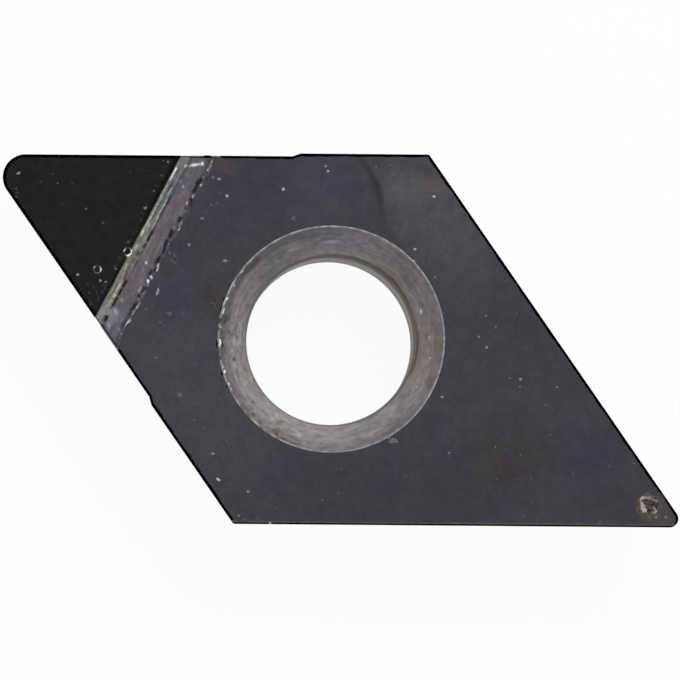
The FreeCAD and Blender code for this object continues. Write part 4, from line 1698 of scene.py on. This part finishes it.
@dataclass
class FarCrater:
    """The small crater near the far corner: a bowl with torn silvery bits round its edge.

    The surface is a grid of distance and direction round its centre. Its height is a bowl,
    less a lip, plus noise that dies away at its outer border, where it meets the top face.
    The torn bits are strokes read in the photograph.
    """

    sizes: InsertSizes = SIZES
    bowl: float = 0.15
    depth: float = 0.05
    reach: float = 0.29
    lip_height: float = 0.005
    crumple_height: float = 0.008
    torn_height: float = 0.018
    closing_depth: float = 0.06
    rings: int = 80
    columns: int = 170
    torn_bits: tuple = (
        # Pale rows are torn bits, partly painted highlight; rows below 0 are painted shade in the crater.
        (641, 499, 642.5, 509.5, 2.2, 0.6), (641.5, 497.3, 649, 497.6, 1.5, 0.8),
        (650.5, 497.8, 656, 501.5, 1.6, 0.65), (643.5, 505, 645, 511, 2.4, 0.6),
        (654, 507.5, 656, 511, 1.9, 0.65), (652, 512, 654, 512.6, 1.5, 0.4),
        (646, 509, 647, 512, 1.4, 0.35), (657, 500, 661, 504, 1.6, 0.12),
        (649.5, 507.5, 649, 511, 1.5, -0.7), (647, 501.5, 652, 504.5, 2.4, -0.3),
        (638.2, 499, 639.5, 511, 1.3, -0.35), (653.5, 503.5, 656, 505.5, 1.8, -0.25),
    )

    def build(self, finish: Material, top: Material) -> Piece:
        """Make the patch, closed underneath.

        Args:
            finish: The torn metal.
            top: The top face's finish, for the patch's level border.
        """
        centre = PHOTO.to_part([PHOTO.crater])[0]
        radius, _, plan = polar_grid(centre, self.reach, self.rings, self.columns)
        x, y = plan[..., 0], plan[..., 1]
        torn = radius * (1.0 + 0.09 * Waves(41, (0.12, 0.12))(x, y))
        inside = 1.0 - smooth_step(torn, self.bowl * 0.7, self.bowl * 1.12)
        lip = np.exp(-((torn - self.bowl * 1.12) / 0.02) ** 2)
        crumple = Waves(42, (0.06, 0.06))(x, y) * (1.0 - smooth_step(torn, self.bowl, self.bowl * 1.4))
        bits = strokes(plan, self.torn_bits, PHOTO.to_part)
        fade = 1.0 - smooth_step(radius, self.reach * 0.8, self.reach)
        relief = self.lip_height * lip - self.depth * inside + self.crumple_height * crumple
        relief += self.torn_height * np.clip(bits, -1.0, 1.0)
        points = closed_below(plan, self.sizes.thickness + LIFT + fade * relief, self.closing_depth)
        marks = {
            "level": smooth_step(torn, self.bowl * 0.9, self.bowl * 1.3),
            "glint": np.clip(bits + 0.12 * crumple, -1.0, 1.0),
        }
        marks = {label: np.concatenate([values, values[[-1, 0]]]) for label, values in marks.items()}
        zones = np.concatenate([torn > self.bowl * 1.32, np.ones((1, self.columns), dtype=bool)]).astype(int)
        skin = Skin("far_crater", points, zones=zones, marks=marks, sharp=60.0)
        return settle(skin.make([finish, top]), "insert_body")


@dataclass
class RingPit:
    """A small pit in the diamond with a chipped rim of painted highlights: a polar grid round its centre.

    Its height is a torn ring's crest less a core. The rim carries painted highlights at the directions that
    the photograph shows, each as a soft hill of direction, and the core painted shade.

    Attributes:
        name: The piece's name.
        pixel: Its centre in the photograph, measured behind the diamond's back edge.
        radius: The rim's radius in pixels.
        core: How dark the painted shade in its middle is.
        lights: Rows of direction, spread and brightness of the painted highlights, in degrees against the
            clock.
    """

    name: str
    pixel: tuple[float, float]
    radius: float
    core: float
    lights: tuple
    crest_height: float = 0.008
    core_depth: float = 0.014
    closing_depth: float = 0.03
    rings: int = 34
    columns: int = 72

    def build(self, finish: Material) -> Piece:
        """Make the pit's patch, closed underneath."""
        behind, v = PHOTO.to_seam([self.pixel])[0]
        centre = SIZES.to_part(np.array(SIZES.tip_back + behind), np.array(v))
        rim = self.radius * PHOTO.pixel
        radius, turn, plan = polar_grid(centre, 1.45 * rim, self.rings, self.columns)
        torn = radius * (1.0 + 0.07 * Waves(71, (0.06, 0.06))(plan[..., 0], plan[..., 1]))
        crest = np.exp(-((torn - rim) / (0.26 * rim)) ** 2)
        core = np.exp(-(torn / (0.66 * rim)) ** 4)
        light = np.zeros_like(turn)
        for direction, spread, strength in self.lights:
            away = (np.degrees(turn) - direction + 180.0) % 360.0 - 180.0
            light = light + strength * np.exp(-(away / spread) ** 2)
        fade = 1.0 - smooth_step(radius, 1.2 * rim, 1.45 * rim)
        relief = fade * (self.crest_height * crest - self.core_depth * core)
        z = SIZES.ground_top + LIFT + relief + 0.0 * turn
        glint = np.clip(crest * light, 0.0, 1.0) - self.core * core
        glint = np.concatenate([glint, np.zeros((2, self.columns))])
        points = closed_below(plan, z, self.closing_depth)
        skin = Skin(self.name, points, marks={"glint": glint}, sharp=60.0)
        return settle(skin.make([finish]), "diamond_layer")


@dataclass(frozen=True)
class PitLightAndShade:
    """The ring pits' finish: black painted shade to diamond grey to white painted highlight, by the mesh's
    own mark.
    """

    def make(self) -> Material:
        """Mix black painted shade, the table's grey and white painted highlight."""
        sheet = Sheet("pit_painted_light_and_shade")
        grey = sheet.mix(sheet.step(sheet.noise(20.0, 3.0), 0.4, 0.65), (29, 29, 28), (40, 39, 35))
        colour = sheet.by_mark("glint", grey, (236, 235, 230), (3, 3, 3), high=0.9)
        return sheet.done(colour, 0.35, gloss=0.05)


# Crumbs read in the photograph: place, length and width in pixels, turn in degrees, paleness
DIAMOND_CRUMBS = (
    (18.4, 173.3, 4.2, 2, 28, 0.5), (52.5, 174, 1.9, 1.7, 0, 0.03), (40.6, 182, 2, 1.6, 0, 0.02),
    (57.6, 183.4, 2.2, 1.8, 0, 0.1), (72, 183, 1.8, 1.6, 0, 0.05), (16, 189, 1.9, 1.8, 0, 0.1),
    (17.6, 193, 1.6, 1.5, 0, 0.08), (16, 197, 2, 1.5, 0, 0.1), (62, 205, 1.8, 1.6, 0, 0),
    (86, 209, 2.2, 2, 0, 0.13), (103, 223, 2, 1.9, 0, 0.07), (77.8, 275, 2.7, 2.5, 0, 0.55),
    (100.4, 281, 2.5, 2.4, 0, 0.44), (105.6, 282, 2.5, 2.2, 0, 0.28), (115.6, 269, 1.6, 3, 62, 0.17),
    (168, 162, 2, 2.8, 60, 0.27), (163, 161, 1.6, 1.5, 0, 0.13), (161.6, 175.6, 2.6, 1.8, 0, 0.07),
    (153.6, 191, 2, 1.8, 0, 0.17), (145, 208, 2.8, 2.6, 0, 0.36), (128, 242, 1.9, 1.8, 0, 0.17),
    (89, 293, 1.9, 1.7, 0, 0.06), (130, 172, 1.9, 1.6, 0, 0), (150, 171, 1.7, 1.5, 0, 0),
    (88, 284.5, 5, 1.1, 0, 0), (93.5, 287, 5, 1.1, -45, 0), (97, 292.5, 5, 1.1, -70, 0),
    (98.2, 298.5, 5, 1.1, -90, 0), (91, 305, 4, 1.1, 60, 0), (33, 165, 1.4, 1.3, 0, 0),
)
BODY_CRUMBS = (
    (213, 177.5, 2.8, 2.2, 0, 0.15), (219, 179, 2.8, 2.4, 0, 0.36), (227, 196, 2.7, 2.7, 0, 0.5),
    (211, 205, 2.4, 2.1, 0, 0.06), (202, 218.5, 3.2, 2.6, 0, 0.17), (189, 245, 2.7, 2.6, 0, 0.25),
    (225, 261, 3.4, 2.6, 0, 0.28), (293, 218, 3.4, 2, 60, 0.13), (283.4, 189, 2.4, 2.3, 0, 0.75),
    (325.7, 166, 2.4, 2.2, 0, 0.28), (328, 171, 2.3, 2.2, 0, 0.45), (415, 249, 2.5, 2.5, 0, 0.5),
    (435, 277, 2.4, 2.2, 0, 0.13), (434, 196, 2.3, 2.2, 0, 0.8), (442, 397, 2.5, 2.3, 0, 0.25),
    (449, 453, 2.3, 2.2, 0, 0.18), (213, 454, 2.6, 2.2, -30, 0.42), (227, 441, 2, 1.8, 0, 0.06),
    (179.5, 395.5, 5, 4.6, 0, 0.08), (194, 420, 2.2, 2, 0, 0.05), (218.3, 479.6, 4.2, 2, -40, 0.75),
    (248, 492, 2.3, 2.2, 0, 0.35), (238.6, 516, 2.2, 2, 0, 0.2), (244.5, 519.6, 2.2, 1.8, 0, 0.06),
    (257, 518.6, 2.6, 1.6, 0, 0.04), (270, 523, 2.4, 1.7, 0, 0.6), (156, 358, 2.2, 2, 0, 0.08),
    (173, 261.6, 6, 1.6, -35, 0.06), (157.6, 292, 6.5, 2.4, 80, 0.42), (169, 314, 5, 4.2, 0, 0.05),
    (393, 441, 7, 4, 10, 0.12), (389, 438, 3, 2.2, 40, 0.14), (392, 439.5, 3, 1.6, 60, 0.35),
    (396, 441.5, 3, 1.5, -20, 0.38), (390, 442.4, 2, 1.6, 0, 0.4), (656, 517, 2.9, 2.5, 15, 0.22),
    (666, 517, 2.7, 2.4, -20, 0.16), (600, 522, 2, 2.6, 0, 0.05), (545.6, 405, 2.4, 2.2, 0, 0.08),
    (486, 315.6, 2.2, 2, 0, 0.15), (495.6, 326.7, 2, 1.9, 0, 0.1), (479, 336.7, 2, 1.9, 0, 0.22),
    (486.7, 347.3, 2.2, 2.2, 0, 0.3), (520.4, 379, 2.4, 2.3, 0, 0.34), (520, 386.7, 2.2, 2, 0, 0.09),
    (509.6, 377.8, 2.2, 1.8, 0, 0.09), (557, 387, 2.4, 2.2, 0, 0.14), (551, 425.6, 2.4, 2.2, 0, 0.02),
    (496.7, 479, 1.8, 1.7, 0, 0.04), (443.8, 313, 1.9, 1.8, 0, 0.03), (531.8, 501.8, 2.2, 2, 0, 0.02),
    (169.5, 253, 4, 1.6, -60, 0.08), (174.5, 256, 3.5, 1.5, -50, 0.04), (160, 323, 4, 2.4, 0, 0.03),
    (145.7, 309.5, 2.2, 1.9, 0, 0.1), (376, 166.5, 2.4, 2.2, 0, 0.1), (550, 435, 2.2, 2, 0, 0.04),
    (609, 466, 2.6, 2.2, 0, 0.02), (634, 463, 2.2, 2, 0, 0.03), (390.5, 164.5, 2.4, 2.2, 0, 0.04),
    (156.5, 265, 1.8, 2.6, 0, 0.05), (149, 271, 1.8, 2, 0, 0.12),
)
# Bright nicks on the rim: painted highlights.
RIM_GLINTS = (
    (219.6, 343.2, 3.2, 8.4, 0, 1), (224.2, 372, 3.2, 3.6, 15, 0.9), (228.7, 384.3, 2.2, 3.8, 20, 0.7),
    (223.2, 311, 2.2, 7.2, -12, 0.85), (226.6, 299, 2.6, 4.2, -20, 0.85), (228.9, 292, 2, 3.6, -25, 0.4),
    (234, 285.5, 2.2, 3.4, -30, 0.5), (220, 327, 2.2, 2.8, 0, 0.5), (222.8, 367, 2.2, 2.8, 10, 0.5),
    (242, 271.5, 1.8, 5, -40, 0.6), (251, 262, 1.5, 3, -45, 0.3), (414, 261, 1.9, 3.2, 35, 0.4),
    (439, 309, 1.8, 2.2, 0, 0.25), (255.5, 382, 3.4, 2, -35, 0.3), (231, 389, 1.8, 3, 25, 0.4),
)
# Dark crumbs in the hone's painted shade: chips on the rim, and painted shade beside its highlights.
RIM_CHIPS_AND_SHADE = (
    (216.9, 344, 1.8, 8.4, 0), (222.6, 345, 1.8, 5, 0), (220.9, 309, 1.4, 5, -14), (221.6, 374, 1.6, 5, 14),
    (227, 387, 1.6, 4, 24), (224.2, 299, 1.4, 4, -20), (207, 156.4, 8, 2.4, 0),
)


@dataclass
class Crumbs:
    """Small crumbs and nicks: flattened lumpy balls, half sunk in the surface that holds them.

    A ball's point is its centre plus length cos a cos b along, width cos a sin b across and
    height sin a up, each times a random lumpiness, for latitude a and longitude b.
    """

    name: str
    slot: str
    spots: Array
    floor: float
    flatness: float = 0.2
    latitudes: int = 6
    longitudes: int = 9
    seed: int = 51
    paleness: float = 1.0
    growth: float = 1.0

    def heights(self, centres: Array) -> Array:
        """Return the surface's height: level, and down the cone inside the countersink's rim."""
        inward = np.maximum(SIZES.countersink / 2.0 - np.linalg.norm(centres, axis=1), 0.0)
        return self.floor - inward / math.tan(math.radians(SIZES.countersink_angle / 2.0))

    def build(self, finish: Material) -> Piece:
        """Make all the crumbs as one mesh."""
        chance = np.random.default_rng(self.seed)
        spots = np.asarray(self.spots, dtype=float)
        centres = PHOTO.to_part(spots[:, :2])
        half = spots[:, 2:4] * self.growth * PHOTO.pixel / 2.0
        rise = self.flatness * half.min(axis=1)
        turn = np.radians(spots[:, 4])[:, None, None]
        up = np.linspace(-math.pi / 2.0, math.pi / 2.0, self.latitudes)[None, :, None]
        about = (np.arange(self.longitudes) / self.longitudes * 2.0 * math.pi)[None, None]
        lumps = chance.uniform(0.75, 1.25, (len(spots), self.latitudes, self.longitudes))
        along = half[:, 0, None, None] * np.cos(up) * np.cos(about) * lumps
        across = half[:, 1, None, None] * np.cos(up) * np.sin(about) * lumps
        x = centres[:, 0, None, None] + along * np.cos(turn) - across * np.sin(turn)
        y = centres[:, 1, None, None] + along * np.sin(turn) + across * np.cos(turn)
        z = self.heights(centres)[:, None, None] + rise[:, None, None] * np.sin(up) + 0.0 * about
        marks = {}
        if spots.shape[1] > 5:
            marks["glint"] = self.paleness * np.broadcast_to(spots[:, 5, None, None], z.shape)
        piece = Skin(self.name, np.stack([x, y, z], axis=-1), marks=marks, sharp=80.0).make([finish])
        return settle(piece)


# The studio

WHITE = (1.0, 1.0, 1.0, 1.0)


@dataclass
class Studio:
    """A white floor, a plain bright sky, soft lamps, and the camera over the insert.

    Attributes:
        sky: The sky's share of the light that a white surface needs to render as white.
        shadow_share: How much of the floor's white comes from the light that falls on it.
    """

    sky: float = 0.54
    shadow_share: float = 0.05
    floor_half: float = 3.0
    floor_gap: float = 0.01
    picture: float = 680.0
    tilt: float = 3.15
    tilt_towards: tuple[float, float] = (-0.53, -0.85)
    camera_distance: float = 0.5
    sensor: float = 36.0
    lamps: tuple = (
        ("key", (0.30, 0.80, 0.85), 0.30, 0.16, 0.56),
        ("side", (0.95, 0.10, 0.70), 0.30, 0.16, 0.12),
        ("low", (-0.40, -0.85, 0.75), 0.30, 0.16, 0.10),
    )

    @staticmethod
    def seen_share(nodes: Nodes) -> Socket:
        """Return 1 for rays from the camera, a gloss or a clear body, and 0 for the others."""
        path = nodes.add("ShaderNodeLightPath").outputs
        share = path["Is Camera Ray"]
        for name in ("Is Glossy Ray", "Is Transmission Ray"):
            share = nodes.math("MAXIMUM", share, path[name])
        return share

    @staticmethod
    def show(nodes: Nodes, share: Socket, shaders: Sequence[bpy.types.Node], output: str) -> None:
        """Mix two shaders by a share, and put them on the output."""
        inputs = {0: share, 1: shaders[0].outputs[0], 2: shaders[1].outputs[0]}
        nodes.add(output, {"Surface": nodes.add("ShaderNodeMixShader", inputs).outputs[0]})

    def build_sky(self) -> None:
        """Light the insert evenly, and show the sky itself as white."""
        world = bpy.data.worlds.new("sky")
        world.use_nodes = True
        nodes = Nodes(world.node_tree)
        nodes.tree.nodes.clear()
        skies = [
            nodes.add("ShaderNodeBackground", {"Color": WHITE, "Strength": strength})
            for strength in (self.sky, 1.0)
        ]
        self.show(nodes, self.seen_share(nodes), skies, "ShaderNodeOutputWorld")
        bpy.context.scene.world = world

    def build_floor(self) -> None:
        """Lay a white floor that keeps a light share of the insert's shadow."""
        material = bpy.data.materials.new("white_floor")
        material.use_nodes = True
        nodes = Nodes(material.node_tree)
        nodes.tree.nodes.clear()
        matt = nodes.add("ShaderNodeBsdfDiffuse", {"Color": WHITE})
        share = nodes.times(self.seen_share(nodes), 1.0 - self.shadow_share)
        self.show(nodes, share, (matt, nodes.add("ShaderNodeEmission")), "ShaderNodeOutputMaterial")
        reach, low = self.floor_half, -self.floor_gap * MILLIMETRE
        mesh = bpy.data.meshes.new("floor")
        corners = [(-reach, -reach, low), (reach, -reach, low), (reach, reach, low), (-reach, reach, low)]
        mesh.from_pydata(corners, [], [(0, 1, 2, 3)])
        mesh.materials.append(material)
        floor = new_object("floor", mesh)

    def build_lamps(self) -> None:
        """Hang soft square lamps that look at the insert.

        A lamp's power is its share of white light, times pi squared and the squared distance.
        """
        for name, direction, distance, size, share in self.lamps:
            lamp = bpy.data.lights.new(name, "AREA")
            lamp.size = size
            lamp.energy = share * (math.pi * distance) ** 2
            hung = new_object(name, lamp)
            towards = Vector(direction).normalized()
            hung.location = towards * distance
            hung.rotation_euler = towards.to_track_quat("Z", "Y").to_euler()

    def build_camera(self) -> None:
        """Look down at the top face along the photograph's slightly tilted line of sight."""
        target = PHOTO.to_part([(self.picture / 2.0, self.picture / 2.0)])[0]
        lean_x, lean_y = np.array(self.tilt_towards) / np.linalg.norm(self.tilt_towards)
        tilt = math.radians(self.tilt)
        back = Vector((math.sin(tilt) * lean_x, math.sin(tilt) * lean_y, math.cos(tilt)))
        roll = Vector((-math.sin(PHOTO.clockwise), math.cos(PHOTO.clockwise), 0.0))
        right = roll.cross(back).normalized()
        up = back.cross(right)
        turn = Matrix((right, up, back)).transposed().to_4x4()
        aim = Vector((target[0], target[1], SIZES.thickness)) * MILLIMETRE
        camera = bpy.data.cameras.new("camera")
        camera.sensor_width = self.sensor
        camera.lens = self.sensor * self.camera_distance / (self.picture * PHOTO.pixel * MILLIMETRE)
        camera.clip_start = 0.01
        camera.clip_end = 20.0
        holder = new_object("camera", camera)
        holder.matrix_world = Matrix.Translation(aim + back * self.camera_distance) @ turn
        bpy.context.scene.camera = holder

    def build(self) -> None:
        """Set up the camera, the floor, the sky and the lamps."""
        bpy.context.scene.view_settings.view_transform = "Standard"
        self.build_camera()
        self.build_floor()
        self.build_sky()
        self.build_lamps()


def scattered(count: int, seed: int) -> Array:
    """Scatter faint dust over the top face, clear of the hole and the tip.

    Args:
        count: How many places are tried.
        seed: Picks the places.

    Returns:
        Rows of pixel place, length, width, turn and paleness.
    """
    chance = np.random.default_rng(seed)
    x = chance.uniform(120.0, 660.0, count)
    y = chance.uniform(160.0, 520.0, count)
    plan = PHOTO.to_part(np.stack([x, y], axis=1))
    right = math.radians(90.0 - SIZES.point_angle)
    slanted = plan[:, 0] * math.cos(right) + plan[:, 1] * math.sin(right)
    u, _ = SIZES.to_diagonal(plan)
    keep = (np.abs(slanted) < SIZES.ground - 0.1) & (np.abs(plan[:, 1]) < SIZES.ground - 0.1)
    keep &= (np.linalg.norm(plan, axis=1) > SIZES.countersink / 2.0 + 0.08) & (u > SIZES.pocket_end + 0.05)
    size = chance.uniform(0.9, 2.0, count)
    pale = chance.uniform(0.0, 0.1, count)
    rows = np.stack([x, y, size, size * chance.uniform(0.7, 1.3, count), 90.0 * size, pale], axis=1)
    return rows[keep]


def main() -> None:
    """Build the studio and the insert, piece by piece."""
    logging.basicConfig(level=logging.INFO, format="%(name)s: %(message)s")
    Studio().build()
    braze = SilverBraze().make()
    backing = RelievedFlank("backing_carbide", (122, 121, 124), 0.2).make()
    crumbs = PaleCrumbs().make()
    pit_light_and_shade = PitLightAndShade().make()
    CarbideBody().build()
    top, hone = (bpy.data.materials[name] for name in ("heat_tinted_top", "edge_hone_painted_shade"))
    DiamondTable().build(SinteredDiamond().make(), hone)
    BrazeFilm().build(braze)
    BrazeFill().build(braze)
    GroundBand().build(BrushedBand().make(), top)
    FarCrater().build(CraterMetal().make(), top)
    for pit in (
        RingPit("seam_pit", (127.2, 251.6), 3.7, 1.0, ((-20, 62, 1.0), (-85, 40, 0.6), (152, 30, 0.7))),
        RingPit("table_pit", (97.0, 269.8), 3.5, 0.2, ((5, 38, 0.75), (140, 34, 0.35), (-90, 90, 0.25))),
    ):
        pit.build(pit_light_and_shade)
    dim = PaleCrumbs("dim_crumbs", (44, 44, 47)).make()
    table, body, top_level = "sintered_diamond", "body_carbide", SIZES.thickness
    Crumbs("crumbs_on_diamond", table, DIAMOND_CRUMBS, SIZES.ground_top, paleness=0.5, growth=1.15).build(dim)
    Crumbs("crumbs_on_body", body, BODY_CRUMBS, top_level, paleness=0.62, growth=1.25).build(crumbs)
    Crumbs("rim_chips_and_shade", body, RIM_CHIPS_AND_SHADE, top_level, 0.12).build(hone)
    Crumbs("rim_glints", body, RIM_GLINTS, top_level + 0.001).build(crumbs)
    Crumbs("faint_dust", body, scattered(200, 61), top_level, 0.15, 4, 6).build(crumbs)
    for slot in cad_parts["tip_backing"].material_slots:
        slot.material = backing


if __name__ == "__main__":
    main()
